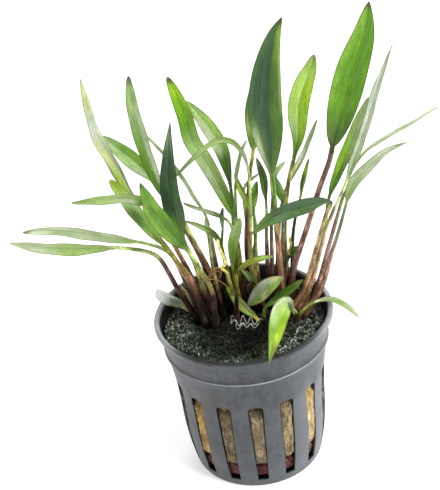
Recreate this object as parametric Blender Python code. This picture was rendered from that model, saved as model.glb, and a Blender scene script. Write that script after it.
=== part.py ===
# Potted cryptocoryne: a net pot with a clay ring, a wool plug and four small plants.
# Metres, +Z up. The origin is the middle of the pot's foot, and -Y is the side seen first.

import math

import bmesh
import bpy
from mathutils import Vector

MM = 0.001

# Net pot, in millimetres
SLOTS = 15
SLOT_FOOT_ANGLE = math.radians(8.8)
SLOT_TOP_ANGLE = math.radians(11.4)
SLOT_FOOT = 3.1
SLOT_TOP = 32.0
SLOT_ARCH = 1.3
WALL = 0.8
WALL_FLARE = 0.12
FLOOR = 0.9
DRAIN_START = 8.0
DRAIN_END = 15.0
DRAIN_EVERY = 3
FOOT_RADIUS = 20.2
POT_HEIGHT = 53.0
LIP_RADIUS = 27.5

# What fills it, in millimetres
RING_OUTER = 19.4
RING_WAIST = 17.4
RING_INNER = 8.0
RING_FOOT = 1.2
RING_TOP = 7.8
RING_EDGE = 0.8
PLUG_FOOT = 8.1
PLUG_TOP = 44.0
PLUG_GAP = 0.5
CROWN_GAP = 0.3
CROWN_RISE = 1.4
CROWN_MARGIN = 0.6
CROWN_SIDES = 16
FOOT_GAP = 0.35
ROOT_RADIUS = 0.35
ROOT_SIDES = 5
ROOT_STEP = 8

# Leaves, in millimetres and shares of the length
STALK_BASE = 0.95
STALK_NECK = 0.3
STALK_PER_WIDTH = 0.055
BLADE_THIN = 0.45
TIP_HALF = 0.28
TIP_SHARE = 0.985
BLADE_EDGE = 0.2
BLADE_RIB = 0.45
BLADE_FOLD = math.radians(14)
LONG_LEAF = 30.0
LONG_STATIONS = 10
SHORT_STATIONS = 7
SPLINE_STEPS = 16
STALK_STATION_SHARE = 0.45
FULL_STALK_LENGTH = 60.0

# The side that the leaves' faces turn to before their own roll is added
LIGHT = Vector((0.0, -0.863, 0.505))

# Short rootstocks: middle x, middle y, radius
CROWNS = {
    "crown_left": (-10.0, 7.3, 5.6),
    "crown_middle": (2.8, 12.4, 5.9),
    "crown_right": (14.2, 10.6, 5.2),
    "crown_front_right": (16.4, 1.0, 3.9),
}

# Outlines of a blade: where it is widest as a share of its length, how fully it widens up to there,
# and how bluntly it closes after that (a smaller power is a fuller outline)
BLADE_SHAPES = {
    "lance": (0.5, 1.0, 0.63),
    "tall": (0.45, 1.2, 0.75),
    "strap": (0.45, 0.65, 0.5),
    "blunt": (0.6, 0.8, 0.45),
    "broad": (0.45, 0.5, 0.7),
    "spoon": (0.55, 1.0, 0.58),
    "spear": (0.33, 0.85, 1.0),
    "paddle": (0.6, 0.32, 0.45),
    "shield": (0.4, 0.8, 0.85),
}

# Each leaf: its foot's x and y, points from there to the tip, the number of the point where the blade
# starts, the blade's width, its roll in degrees, and its outline
LEAVES = {
    "leaf_left_01": ([(-14, 6.5), (-19, 5, 60.5), (-23, 1.5, 74.5), (-25.5, 0, 77.5),
        (-33, -2.5, 81.5), (-44.5, -5, 84.5), (-54, -7, 87.5), (-63, -8.5, 91)], 4, 5.2, 45, "lance"),
    "leaf_left_02": ([(-12.5, 8.5), (-16, 7.5, 59.5), (-19.5, 6.5, 72), (-23, 6, 75.5),
        (-27.5, 6, 77.5), (-39.5, 5.5, 82), (-50.5, 4.5, 86), (-57, 4, 87), (-61.5, 4, 87)],
        4, 4.4, 45, "strap"),
    "leaf_left_03": ([(-10.5, 11), (-15.5, 9, 65), (-18.5, 2, 80), (-20.5, -6, 93), (-23, -11, 100),
        (-27.5, -13, 103), (-35, -15, 104.5), (-42.5, -16, 105)], 3, 4, 50, "strap"),
    "leaf_left_04": ([(-10, 5.5), (-17, 4, 68.5), (-21, 3.5, 78), (-24.5, 3, 86.5), (-28, 3, 96),
        (-31.5, 3.5, 107), (-34.5, 4.5, 115.5), (-35.5, 5.5, 123), (-36.5, 6, 131.5)],
        3, 5.6, 50, "lance"),
    "leaf_left_05": ([(-8.4, 11.3), (-10, 12.5, 62), (-14, 14, 74.5), (-17.5, 15.5, 83),
        (-21, 17, 90.5), (-25.5, 18.5, 97), (-30.5, 20.5, 102), (-35, 22, 106.5)], 4, 5.4, 20, "lance"),
    "leaf_left_06": ([(-12, 4), (-14.5, 2, 65.5), (-17.5, 0.5, 72.5), (-20, -1, 78.5), (-23, -4, 86.5),
        (-26, -6.5, 94.5), (-28.5, -9, 102), (-31.5, -10.5, 108)], 3, 5.2, 35, "blunt"),
    "leaf_left_07": ([(-9, 2.5), (-8.5, 1, 60), (-11, -2, 70.5), (-14, -6, 80.5), (-17.5, -9, 88),
        (-21, -13, 98), (-22, -16, 104), (-23, -18, 109.5)], 3, 5.5, 5, "broad"),
    "leaf_left_08": ([(-8, 5.5), (-10.5, 4, 57), (-12.5, 1, 71), (-14.5, -2, 81), (-15.5, -4, 90),
        (-16, -6, 99.5), (-15, -7.5, 110.5), (-13, -8, 122)], 3, 5.9, 15, "spear"),
    "leaf_left_09": ([(-7, 9), (-8, 9, 60), (-11.5, 8.5, 72.5), (-15, 8, 84), (-19.5, 8, 94),
        (-21, 8, 100.5), (-22.5, 8.5, 110), (-23.5, 9, 119), (-23.5, 10, 129)], 3, 4.8, 30, "blunt"),
    "leaf_left_10": ([(-5.5, 10.5), (-6.5, 10.5, 65), (-7.5, 10, 81.5), (-10, 11, 88), (-13, 12.5, 95),
        (-17.5, 14, 102.5), (-22, 15, 108.5)], 2, 3.1, 68, "strap"),
    "leaf_left_11": ([(-14, 9.5), (-17.5, 10, 49.5), (-20, 9.5, 52.5), (-22.5, 8, 55.5),
        (-26, 8.5, 58.5)], 1, 5.7, 40, "blunt"),
    "leaf_left_12": ([(-14.5, 12.2), (-15, 13, 46), (-16.5, 13.5, 49.5), (-17.5, 13.5, 53.5),
        (-18.5, 13, 57)], 1, 2.4, 20, "lance"),
    "leaf_left_13": ([(-6, 7), (-7.5, 6.5, 66.5), (-7.5, 6, 72), (-7.5, 5, 77), (-7.5, 4, 84.5)],
        3, 1.6, 40, "strap"),
    "leaf_middle_01": ([(1, 13), (1, 12, 54.5), (1, 11.5, 71), (0.5, 11, 80.5), (-2.5, 10.5, 91.5),
        (-5.5, 10, 100), (-8.5, 10, 107), (-9.5, 10.5, 114.5), (-11.5, 11, 122), (-13, 12, 126.5)],
        3, 4.9, 10, "paddle"),
    "leaf_middle_02": ([(2.5, 15.5), (0, 16.5, 51.5), (0.5, 18, 73), (1, 20, 84), (0.5, 22, 92.5),
        (-0.5, 23.5, 97.5), (-3.5, 25, 104), (-9, 27.5, 112)], 3, 4.9, 15, "spoon"),
    "leaf_middle_03": ([(3.6, 9.4), (4.5, 4.5, 71), (6, 2.5, 87.5), (6.5, 1, 99), (5.5, 0, 106),
        (2.5, -1, 110.5), (-1.5, -2, 111.5), (-6.5, -3.5, 109.5), (-14.5, -6, 103.5)],
        3, 2.1, 45, "strap"),
    "leaf_middle_04": ([(4.5, 15), (3.5, 14.5, 63.5), (5.5, 15, 81), (7.5, 15.5, 92.5), (9, 16, 98.5),
        (10, 17, 108), (11.5, 18, 115), (14.5, 19, 124.5)], 4, 5, 20, "broad"),
    "leaf_middle_05": ([(0.2, 8.2), (-1, 5, 59), (-1.5, 3.5, 65.5), (-1, 3, 71), (0, 1.5, 77),
        (1.5, 0, 82), (2.5, -1.5, 86)], 2, 3.3, 10, "blunt"),
    "leaf_middle_06": ([(6.4, 9.2), (5, 7.5, 65), (6.5, 6.5, 73.5), (7, 6, 80.5), (5.5, 5, 87),
        (4, 4, 92), (2.5, 2.5, 98.5)], 3, 2.4, 40, "strap"),
    "leaf_middle_07": ([(-1, 11.5), (-0.5, 13, 61.5), (1.5, 14, 78.5), (2.5, 14.5, 88.5), (4, 15, 94),
        (5.5, 15.5, 98.5), (7.5, 16, 102)], 3, 2.9, 65, "strap"),
    "leaf_middle_08": ([(5, 17), (4, 18, 59.5), (4.5, 19, 73.5), (4.5, 19, 81.5), (5.5, 18.5, 85.5),
        (7.5, 17.5, 88), (10, 16, 90.5)], 3, 1.7, 55, "strap"),
    "leaf_middle_09": ([(8.5, 14), (9, 14, 52), (10, 13, 69), (11, 12, 82.5), (11, 11.5, 87),
        (11, 11, 92), (9.5, 10, 99)], 3, 2.6, 25, "lance"),
    "leaf_middle_10": ([(6.5, 11.5), (6, 10.5, 60), (6.5, 10.5, 71), (7, 11, 80.5), (7.5, 11.5, 85),
        (9, 11.5, 90.5)], 3, 2.7, 20, "lance"),
    "leaf_middle_11": ([(1.5, 11), (0, 8, 62.5), (0.5, 6, 72.5), (-0.5, 3.5, 81.5), (-3, 1, 86),
        (-7, -1, 89.5), (-10.5, -3, 92.5), (-13, -5, 95)], 3, 2.2, 55, "strap"),
    "leaf_middle_12": ([(-1.5, 9), (-3, 6, 62.5), (-3.5, 4, 71), (-4.5, 2, 77.5), (-6, 1, 81),
        (-8.5, 0, 83.5), (-10.5, -1, 85.5), (-13.5, -2, 87.5)], 2, 2, 30, "strap"),
    "leaf_middle_13": ([(-3.5, 9.5), (-3.5, 8.5, 63.5), (-4, 8, 71), (-3, 7, 78), (-2.5, 6.5, 83),
        (-2, 6, 86)], 3, 1.9, 50, "strap"),
    "leaf_middle_14": ([(-2.4, 3.6), (-1, 1.5, 60.5), (0, -1, 67.5), (2.5, -3.5, 71), (6, -6.5, 74),
        (10.5, -9.5, 76.5)], 2, 2.8, 45, "strap"),
    "leaf_middle_15": ([(4.5, 3.5), (4, 4, 46.5), (1.5, 4.5, 49.5), (-1, 4.5, 53.5), (-4, 4.5, 59.5)],
        1, 3.2, 20, "strap"),
    "leaf_right_01": ([(13, 7.5), (13, 5, 65.5), (13, 2.5, 80), (13, -0.5, 95.5), (13, -2, 107),
        (13, -3.5, 120.5), (14.5, -4.5, 131.5), (17, -5, 140.5), (19.5, -5, 145.5)], 3, 9.4, 8, "tall"),
    "leaf_right_02": ([(13.5, 15), (15, 16, 51.5), (16, 18, 69), (18.5, 19.5, 83.5), (21, 20.5, 91.5),
        (23, 21.5, 98), (24, 22.5, 107.5), (26.5, 23.5, 114.5), (28.5, 24, 118.5), (30, 24, 123)],
        4, 6.5, 12, "spoon"),
    "leaf_right_03": ([(11.5, 17), (13, 19, 57), (15, 21, 71), (17.5, 23, 79.5), (20.5, 25, 83.5),
        (24.5, 27, 89), (27.5, 29, 94), (30, 30, 99.5)], 3, 2.9, 55, "strap"),
    "leaf_right_04": ([(15, 12), (17, 13.5, 56.5), (18, 14, 67), (19.5, 14, 75), (21.5, 13.5, 82),
        (23, 13, 88), (25, 12, 95.5)], 4, 2, 50, "strap"),
    "leaf_right_05": ([(10, 12.5), (13.5, 12, 56.5), (15, 11.5, 71), (16, 11, 81.5),
        (15.5, 10.5, 86.5), (14.5, 10, 92)], 3, 2.8, 30, "lance"),
    "leaf_right_06": ([(8.5, 9.5), (10.5, 9.5, 60), (12, 10, 77.5), (13.5, 11.5, 87), (14.5, 12.5, 91),
        (18, 15, 94)], 3, 2.1, 40, "strap"),
    "leaf_right_07": ([(14.3, 4.6), (20, 3, 57.5), (24.5, 1.5, 72), (27.5, 0, 82.5), (29, -3, 88),
        (26, -6, 90.5), (21, -10, 92), (15, -14, 93), (10, -16.5, 92.5), (5, -18, 89.5)],
        4, 4.8, 20, "lance"),
    "leaf_right_08": ([(3.2, 7.2), (1.5, 6, 49.5), (5, 3.5, 55), (8.5, 0.5, 60), (13, -1.5, 64)],
        1, 5.4, 15, "spoon"),
    "leaf_right_09": ([(7.5, 7.5), (5.5, 6, 55), (4.5, 4.5, 60), (3, 2.5, 64), (1, 0.5, 67.5)],
        1, 2.8, 35, "lance"),
    "leaf_right_10": ([(6, 4.5), (7, 3.5, 50.5), (10.5, 2.5, 53.5), (14.5, 0.5, 57.5), (19, -2, 62.5)],
        1, 3, 20, "strap"),
    "leaf_right_11": ([(12.5, 12), (15, 12, 58), (16.5, 12, 63), (20.5, 10, 66.5)], 2, 2.8, 40, "strap"),
    "leaf_right_12": ([(14, 1), (16, 1, 47.5), (15, -1, 52), (13.5, -4.5, 56.5), (11.5, -9, 57.5),
        (10, -14, 58), (8, -22, 57), (6.5, -27, 55.5), (5.5, -30, 54)], 2, 5.8, 10, "shield"),
    "leaf_far_right_01": ([(15.5, 9), (17, 8, 59.5), (22, 7.5, 74), (27, 7, 88), (30.5, 6.5, 97),
        (31.5, 6, 101.5), (35, 6, 113), (38.5, 6, 124), (42, 6, 133.5), (44, 6, 143)],
        5, 9.1, 8, "broad"),
    "leaf_far_right_02": ([(16.5, 4), (22, 4, 57.5), (26, 3.5, 71.5), (28, 3, 81), (29, 2, 87),
        (32, 1.5, 94.5), (35.5, 1, 102.5), (39, 1, 111), (42, 1, 117.5)], 4, 3.7, 30, "strap"),
    "leaf_far_right_03": ([(18.5, 5.5), (21, 6, 53.5), (26, 9, 66), (30.5, 11, 76.5), (35, 13, 84),
        (39, 15, 92.5), (43, 16.5, 102), (47, 18, 112.5), (49.5, 18.5, 118.5), (52.5, 19, 126)],
        4, 3.8, 40, "spear"),
    "leaf_far_right_04": ([(20.2, 8), (24, 5, 55.5), (29.5, 11, 67.5), (35, 17, 79), (38.5, 19, 86.5),
        (42.5, 21.5, 90), (50, 26, 92), (58.5, 30.5, 93.5), (69, 36, 96)], 4, 3.1, 72, "strap"),
    "leaf_far_right_05": ([(17.5, 1), (24.5, 0, 57.5), (28, -1.5, 69.5), (31, -3, 79.5),
        (33, -4.5, 87.5), (35, -6, 94.5), (39.5, -8, 100.5), (44.5, -10.5, 106), (51, -12, 109)],
        4, 3.2, 15, "spear"),
    "leaf_far_right_06": ([(15.5, -0.5), (18, -1.5, 51), (22, -2, 54), (26.5, -3, 55),
        (30.5, -5, 53.5), (34.5, -7, 50)], 2, 2.3, 40, "strap"),
    "leaf_far_right_07": ([(18.5, -2.5), (19.2, -2.6, 46.6), (20.5, -3, 48)], 1, 1.3, 20, "strap"),
}

# Loose roots on the plug, from end to end
ROOTS = {
    "root_front_left": [(-4.2, 2.8, 46.5), (-2.7, 1.8, 48.5), (-1.8, 1.4, 46.5), (-0.4, 2, 46.8),
                        (0.6, 1.2, 45.6), (1.8, 1.7, 46.4), (2.9, 0.4, 45.6), (4.4, 0.8, 46.8)],
    "root_front_right": [(16, -3.8, 45.4), (15.6, -6.2, 46), (13.9, -9.5, 45.3), (12.3, -11.8, 45.8),
                         (10.6, -13.2, 45.2)],
}


def plain_material(name, colour, roughness):
    """A Principled material of one colour."""
    material = bpy.data.materials.new(name)
    material.use_nodes = True
    shader = material.node_tree.nodes["Principled BSDF"]
    shader.inputs["Base Color"].default_value = (*colour, 1.0)
    shader.inputs["Roughness"].default_value = roughness
    return material


def add_object(name, bm, material, smooth=True):
    """Turns a bmesh in millimetres into a named object."""
    bmesh.ops.recalc_face_normals(bm, faces=bm.faces)
    bmesh.ops.scale(bm, vec=(MM, MM, MM), verts=bm.verts)
    mesh = bpy.data.meshes.new(name)
    bm.to_mesh(mesh)
    bm.free()
    if smooth:
        mesh.shade_smooth()
        mesh.set_sharp_from_angle(angle=math.radians(35))
    mesh.materials.append(material)
    made = bpy.data.objects.new(name, mesh)
    bpy.context.scene.collection.objects.link(made)
    return made


def turned(bm, profile, count, close=False):
    """Rings of vertices from (radius, z) pairs, skinned into one surface of revolution."""
    rings = []
    for radius, z in profile:
        ring = []
        for i in range(count):
            angle = 2 * math.pi * i / count
            ring.append(bm.verts.new((radius * math.sin(angle), -radius * math.cos(angle), z)))
        rings.append(ring)
    pairs = list(zip(rings, rings[1:]))
    if close:
        pairs.append((rings[-1], rings[0]))
    for low, high in pairs:
        for i in range(count):
            j = (i + 1) % count
            bm.faces.new((low[i], low[j], high[j], high[i]))
    return rings


def skin_rings(bm, rings):
    """Skins a row of equal rings and closes both ends."""
    count = len(rings[0])
    for low, high in zip(rings, rings[1:]):
        for i in range(count):
            j = (i + 1) % count
            bm.faces.new((low[i], low[j], high[j], high[i]))
    bm.faces.new(rings[0])
    bm.faces.new(rings[-1])


def slot_half_angle(z):
    """Half of a slot's angle at a height: the slots widen upwards."""
    share = min(1.0, max(0.0, (z - SLOT_FOOT) / (SLOT_TOP - SLOT_FOOT)))
    return (SLOT_FOOT_ANGLE + (SLOT_TOP_ANGLE - SLOT_FOOT_ANGLE) * share) / 2


def slot_columns():
    """The pot's columns of vertices: slot middle, side of it, whether the next cell is open, arch."""
    columns = []
    for i in range(SLOTS):
        middle = 2 * math.pi * i / SLOTS
        columns.append((middle, -1, True, 0.0))
        columns.append((middle, 0, True, 1.0))
        columns.append((middle, 1, False, 0.0))
    return columns


def make_pot(material):
    """The net pot: floor with drain cells, slotted wall, ridge, collar and lip, as two matched skins."""
    rows = [
        ((DRAIN_START, 0.0), (DRAIN_START, FLOOR)),
        ((DRAIN_END, 0.0), (DRAIN_END, FLOOR)),
        ((FOOT_RADIUS, 0.0), (FOOT_RADIUS - 0.5, FLOOR)),
        ((20.7, 0.7), (19.9, 1.3)),
        ((21.1, SLOT_FOOT), (21.1 - WALL, SLOT_FOOT)),
        ((22.1, 9.0), (22.1 - WALL, 9.0)),
        ((22.8, 16.5), (22.8 - WALL, 16.5)),
        ((23.1, 25.0), (23.1 - WALL, 25.0)),
        ((23.5, SLOT_TOP), (23.5 - WALL, SLOT_TOP)),
        ((24.95, 42.8), (24.95 - WALL, 42.8)),
        ((25.7, 43.4), (24.95 - WALL, 43.4)),
        ((25.2, 44.3), (25.2 - WALL, 44.3)),
        ((26.5, 51.2), (26.5 - WALL, 51.2)),
        ((LIP_RADIUS, 51.6), (25.85, 51.7)),
        ((LIP_RADIUS - 0.1, POT_HEIGHT), (26.1, POT_HEIGHT)),
    ]
    drain_row = 0
    first_slot_row = 4
    arch_row = 8
    columns = slot_columns()
    count = len(columns)
    bm = bmesh.new()
    skins = []
    for side in (0, 1):
        skin = []
        for k, pair in enumerate(rows):
            radius, z = pair[side]
            ring = []
            for middle, slot_side, _, arch in columns:
                angle = middle + slot_side * slot_half_angle(z)
                lift = SLOT_ARCH * arch if k == arch_row else 0.0
                reach = radius + lift * WALL_FLARE
                ring.append(bm.verts.new((reach * math.sin(angle), -reach * math.cos(angle), z + lift)))
            skin.append(ring)
        skins.append(skin)
    outer, inner = skins

    def is_open(k, i):
        if not columns[i % count][2]:
            return False
        if first_slot_row <= k < arch_row:
            return True
        return k == drain_row and (i // 3) % DRAIN_EVERY == 0

    for k in range(len(rows) - 1):
        for i in range(count):
            j = (i + 1) % count
            if not is_open(k, i):
                bm.faces.new((outer[k][i], outer[k][j], outer[k + 1][j], outer[k + 1][i]))
                bm.faces.new((inner[k][j], inner[k][i], inner[k + 1][i], inner[k + 1][j]))
                continue
            if not is_open(k, i - 1):
                bm.faces.new((outer[k][i], inner[k][i], inner[k + 1][i], outer[k + 1][i]))
            if not is_open(k, j):
                bm.faces.new((inner[k][j], outer[k][j], outer[k + 1][j], inner[k + 1][j]))
            if k == drain_row or not is_open(k - 1, i):
                bm.faces.new((outer[k][j], inner[k][j], inner[k][i], outer[k][i]))
            if not is_open(k + 1, i):
                bm.faces.new((outer[k + 1][i], inner[k + 1][i], inner[k + 1][j], outer[k + 1][j]))
    bm.faces.new(reversed(outer[0]))
    bm.faces.new(inner[0])
    for i in range(count):
        j = (i + 1) % count
        bm.faces.new((outer[-1][i], outer[-1][j], inner[-1][j], inner[-1][i]))
    return add_object("net_pot", bm, material)


def make_clay_ring(material):
    """The fired clay weight on the pot's floor."""
    edge = RING_EDGE
    profile = [
        (RING_WAIST, RING_FOOT), (RING_OUTER, RING_TOP / 2 + edge), (RING_OUTER, RING_TOP - edge),
        (RING_OUTER - edge, RING_TOP), (RING_INNER + edge, RING_TOP), (RING_INNER, RING_TOP - edge),
        (RING_INNER, RING_FOOT + edge), (RING_INNER + edge, RING_FOOT),
    ]
    bm = bmesh.new()
    turned(bm, profile, 24, close=True)
    return add_object("clay_ring", bm, material)


def make_plug(material):
    """The rock wool plug that fills the pot above the ring."""
    profile = [
        (15.0, PLUG_FOOT), (21.2 - PLUG_GAP, PLUG_FOOT + 0.6), (22.0 - PLUG_GAP, 16.5),
        (22.3 - PLUG_GAP, 25.0), (22.7 - PLUG_GAP, 32.0), (24.1 - PLUG_GAP, 42.5),
        (23.6 - PLUG_GAP, PLUG_TOP), (12.0, PLUG_TOP),
    ]
    bm = bmesh.new()
    rings = turned(bm, profile, 32)
    bm.faces.new(reversed(rings[0]))
    bm.faces.new(rings[-1])
    return add_object("wool_plug", bm, material)


def make_crown(name, middle_x, middle_y, radius, material):
    """A short rootstock lying in the top of the plug."""
    base = PLUG_TOP + CROWN_GAP
    profile = [(radius * 0.9, base), (radius, base + CROWN_RISE * 0.35),
               (radius * 0.8, base + CROWN_RISE * 0.8)]
    bm = bmesh.new()
    rings = turned(bm, profile, CROWN_SIDES)
    bm.faces.new(reversed(rings[0]))
    top = bm.verts.new((0, 0, base + CROWN_RISE))
    for i in range(CROWN_SIDES):
        bm.faces.new((rings[-1][i], rings[-1][(i + 1) % CROWN_SIDES], top))
    bmesh.ops.translate(bm, vec=(middle_x, middle_y, 0), verts=bm.verts)
    return add_object(name, bm, material)


def foot_height(x, y):
    """Height at which a leaf's foot clears the rootstock or the plug below it."""
    for middle_x, middle_y, radius in CROWNS.values():
        if math.hypot(x - middle_x, y - middle_y) < radius + CROWN_MARGIN:
            return PLUG_TOP + CROWN_GAP + CROWN_RISE + FOOT_GAP
    return PLUG_TOP + FOOT_GAP


def smooth_route(points):
    """Points along a smooth curve that passes through all the given ones."""
    points = [Vector(p) for p in points]
    ends = [points[0] * 2 - points[1]] + points + [points[-1] * 2 - points[-2]]
    route = []
    for k in range(1, len(ends) - 2):
        around = ends[k - 1:k + 3]
        knots = [0.0]
        for a, b in zip(around, around[1:]):
            knots.append(knots[-1] + math.sqrt((b - a).length))
        for step in range(SPLINE_STEPS):
            t = knots[1] + (knots[2] - knots[1]) * step / SPLINE_STEPS
            level = around
            for order in (1, 2, 3):
                row = []
                for i in range(len(level) - 1):
                    low = knots[max(i, 1) if order == 3 else i]
                    high = knots[min(i + order, 2) if order == 3 else i + order]
                    share = (t - low) / (high - low)
                    row.append(level[i].lerp(level[i + 1], share))
                level = row
            route.append(level[0])
    route.append(points[-1])
    return route


def route_lengths(route):
    """Distance from the foot to each point of a route."""
    lengths = [0.0]
    for a, b in zip(route, route[1:]):
        lengths.append(lengths[-1] + (b - a).length)
    return lengths


def places_along(route, lengths, marks):
    """Places on a route at the given shares of its length."""
    places = []
    for mark in marks:
        target = lengths[-1] * mark
        k = 0
        while k < len(lengths) - 2 and lengths[k + 1] < target:
            k += 1
        share = (target - lengths[k]) / (lengths[k + 1] - lengths[k])
        places.append(route[k].lerp(route[k + 1], share))
    return places


def blade_share(f, outline):
    """Half width of a blade, as a share of its most, at f from its neck to its tip."""
    peak, fullness, bluntness = BLADE_SHAPES[outline]
    if f <= 0.0 or f >= 1.0:
        return 0.0
    if f < peak:
        return math.sin(math.pi / 2 * f / peak) ** fullness
    return math.cos(math.pi / 2 * (f - peak) / (1 - peak)) ** bluntness


def leaf_section(place, along, roll, half, radius, fade):
    """Six corners across a leaf: round where it is no wider than its stalk, thin and folded where it is."""
    across = along.cross(LIGHT).normalized()
    face = across.cross(along)
    side = across * math.cos(roll) + face * math.sin(roll)
    up = side.cross(along).normalized()
    flat = min(1.0, max(0.0, (half - radius) / radius))
    edge = (radius * 0.5 + (BLADE_EDGE - radius * 0.5) * flat) * fade
    rib = (radius + (BLADE_RIB - radius) * flat) * fade
    lift = half * math.tan(BLADE_FOLD) * flat
    reach = half if flat > 0 else half * math.cos(math.radians(30))
    corners = [
        (-reach, lift + edge), (0, rib), (reach, lift + edge),
        (reach, lift - edge), (0, -rib), (-reach, lift - edge),
    ]
    return [place + side * a + up * b for a, b in corners]


def make_leaf(name, points, neck, width, roll, outline, material):
    """One leaf: a six-sided stalk that widens into a thin folded blade with a midrib."""
    x, y = points[0]
    route = smooth_route([(x, y, foot_height(x, y))] + points[1:])
    lengths = route_lengths(route)
    total = lengths[-1]
    neck_share = lengths[neck * SPLINE_STEPS] / total
    stalk_count = 1
    blade_count = SHORT_STATIONS - 1
    if total > LONG_LEAF:
        stalk_count = round(LONG_STATIONS * STALK_STATION_SHARE)
        blade_count = LONG_STATIONS - stalk_count
    marks = [neck_share * i / stalk_count for i in range(stalk_count + 1)]
    marks += [neck_share + (TIP_SHARE - neck_share) * i / blade_count for i in range(1, blade_count + 1)]
    places = places_along(route, lengths, marks)
    base = STALK_BASE * (0.55 + 0.45 * min(1.0, total / FULL_STALK_LENGTH))
    slim = STALK_NECK + STALK_PER_WIDTH * width
    last = len(marks) - 1
    bm = bmesh.new()
    rings = []
    for k, mark in enumerate(marks):
        along = (places[min(k + 1, last)] - places[max(k - 1, 0)]).normalized()
        if k == 0:
            along = (along + Vector((0, 0, 1.5))).normalized()
        f = max(0.0, (mark - neck_share) / (1 - neck_share))
        radius = base + (slim - base) * min(1.0, mark / neck_share)
        half = TIP_HALF if k == last else max(radius, width / 2 * blade_share(f, outline))
        corners = leaf_section(places[k], along, math.radians(roll), half, radius, 1 - BLADE_THIN * f)
        rings.append([bm.verts.new(corner) for corner in corners])
    skin_rings(bm, rings)
    return add_object(name, bm, material)


def make_root(name, points, material):
    """A thin loose root that lies over the top of the plug."""
    route = smooth_route(points)[::ROOT_STEP]
    bm = bmesh.new()
    rings = []
    for k, place in enumerate(route):
        along = (route[min(k + 1, len(route) - 1)] - route[max(k - 1, 0)]).normalized()
        side = along.cross(Vector((0, 0, 1))).normalized()
        up = side.cross(along)
        ring = []
        for i in range(ROOT_SIDES):
            angle = 2 * math.pi * i / ROOT_SIDES
            spoke = side * math.cos(angle) + up * math.sin(angle)
            ring.append(bm.verts.new(place + spoke * ROOT_RADIUS))
        rings.append(ring)
    skin_rings(bm, rings)
    return add_object(name, bm, material)


def main():
    for old in list(bpy.data.objects):
        bpy.data.objects.remove(old, do_unlink=True)
    slate = plain_material("slate_plastic", (0.11, 0.125, 0.14), 0.45)
    clay = plain_material("fired_clay", (0.2, 0.045, 0.03), 0.9)
    wool = plain_material("tan_wool", (0.36, 0.25, 0.11), 1.0)
    stock = plain_material("brown_rootstock", (0.06, 0.035, 0.03), 0.8)
    leaf = plain_material("leaf_green", (0.09, 0.2, 0.03), 0.4)
    pale = plain_material("pale_root", (0.6, 0.58, 0.5), 0.7)
    make_pot(slate)
    make_clay_ring(clay)
    make_plug(wool)
    for name, (middle_x, middle_y, radius) in CROWNS.items():
        make_crown(name, middle_x, middle_y, radius, stock)
    for name, (points, neck, width, roll, outline) in LEAVES.items():
        make_leaf(name, points, neck, width, roll, outline, leaf)
    for name, points in ROOTS.items():
        make_root(name, points, pale)


main()
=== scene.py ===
# Potted cryptocoryne: the looks of the pot, what fills it and every leaf.
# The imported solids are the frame. Lists of points are in millimetres, and meshes are made in metres.

import math
import random

import bpy
from mathutils import Matrix, Vector, noise


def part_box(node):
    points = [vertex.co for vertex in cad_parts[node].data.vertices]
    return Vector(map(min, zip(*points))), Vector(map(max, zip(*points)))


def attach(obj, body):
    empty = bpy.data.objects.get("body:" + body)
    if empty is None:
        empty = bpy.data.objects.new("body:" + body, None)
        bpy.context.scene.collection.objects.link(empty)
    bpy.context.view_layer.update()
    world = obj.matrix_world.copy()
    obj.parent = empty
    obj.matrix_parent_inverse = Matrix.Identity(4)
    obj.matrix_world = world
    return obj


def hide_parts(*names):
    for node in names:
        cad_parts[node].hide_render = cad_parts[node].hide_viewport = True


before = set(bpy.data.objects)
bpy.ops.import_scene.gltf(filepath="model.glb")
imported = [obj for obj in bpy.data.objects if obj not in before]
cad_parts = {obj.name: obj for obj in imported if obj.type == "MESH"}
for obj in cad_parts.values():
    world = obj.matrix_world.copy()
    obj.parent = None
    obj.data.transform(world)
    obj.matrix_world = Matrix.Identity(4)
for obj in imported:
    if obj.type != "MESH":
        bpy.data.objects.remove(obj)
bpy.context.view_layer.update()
mm = 0.001
print("frame loaded:", len(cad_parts), "nodes")


# Shader maths

class Wire:
    # one shader value: working with it in Python adds the Math nodes
    def __init__(self, finish, socket):
        self.finish = finish
        self.socket = socket

    def __add__(self, other):
        return self.finish.math("ADD", self, other)

    def __radd__(self, other):
        return self.finish.math("ADD", other, self)

    def __sub__(self, other):
        return self.finish.math("SUBTRACT", self, other)

    def __rsub__(self, other):
        return self.finish.math("SUBTRACT", other, self)

    def __mul__(self, other):
        return self.finish.math("MULTIPLY", self, other)

    def __rmul__(self, other):
        return self.finish.math("MULTIPLY", other, self)

    def __truediv__(self, other):
        return self.finish.math("DIVIDE", self, other)

    def __abs__(self):
        return self.finish.math("ABSOLUTE", self)


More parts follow.
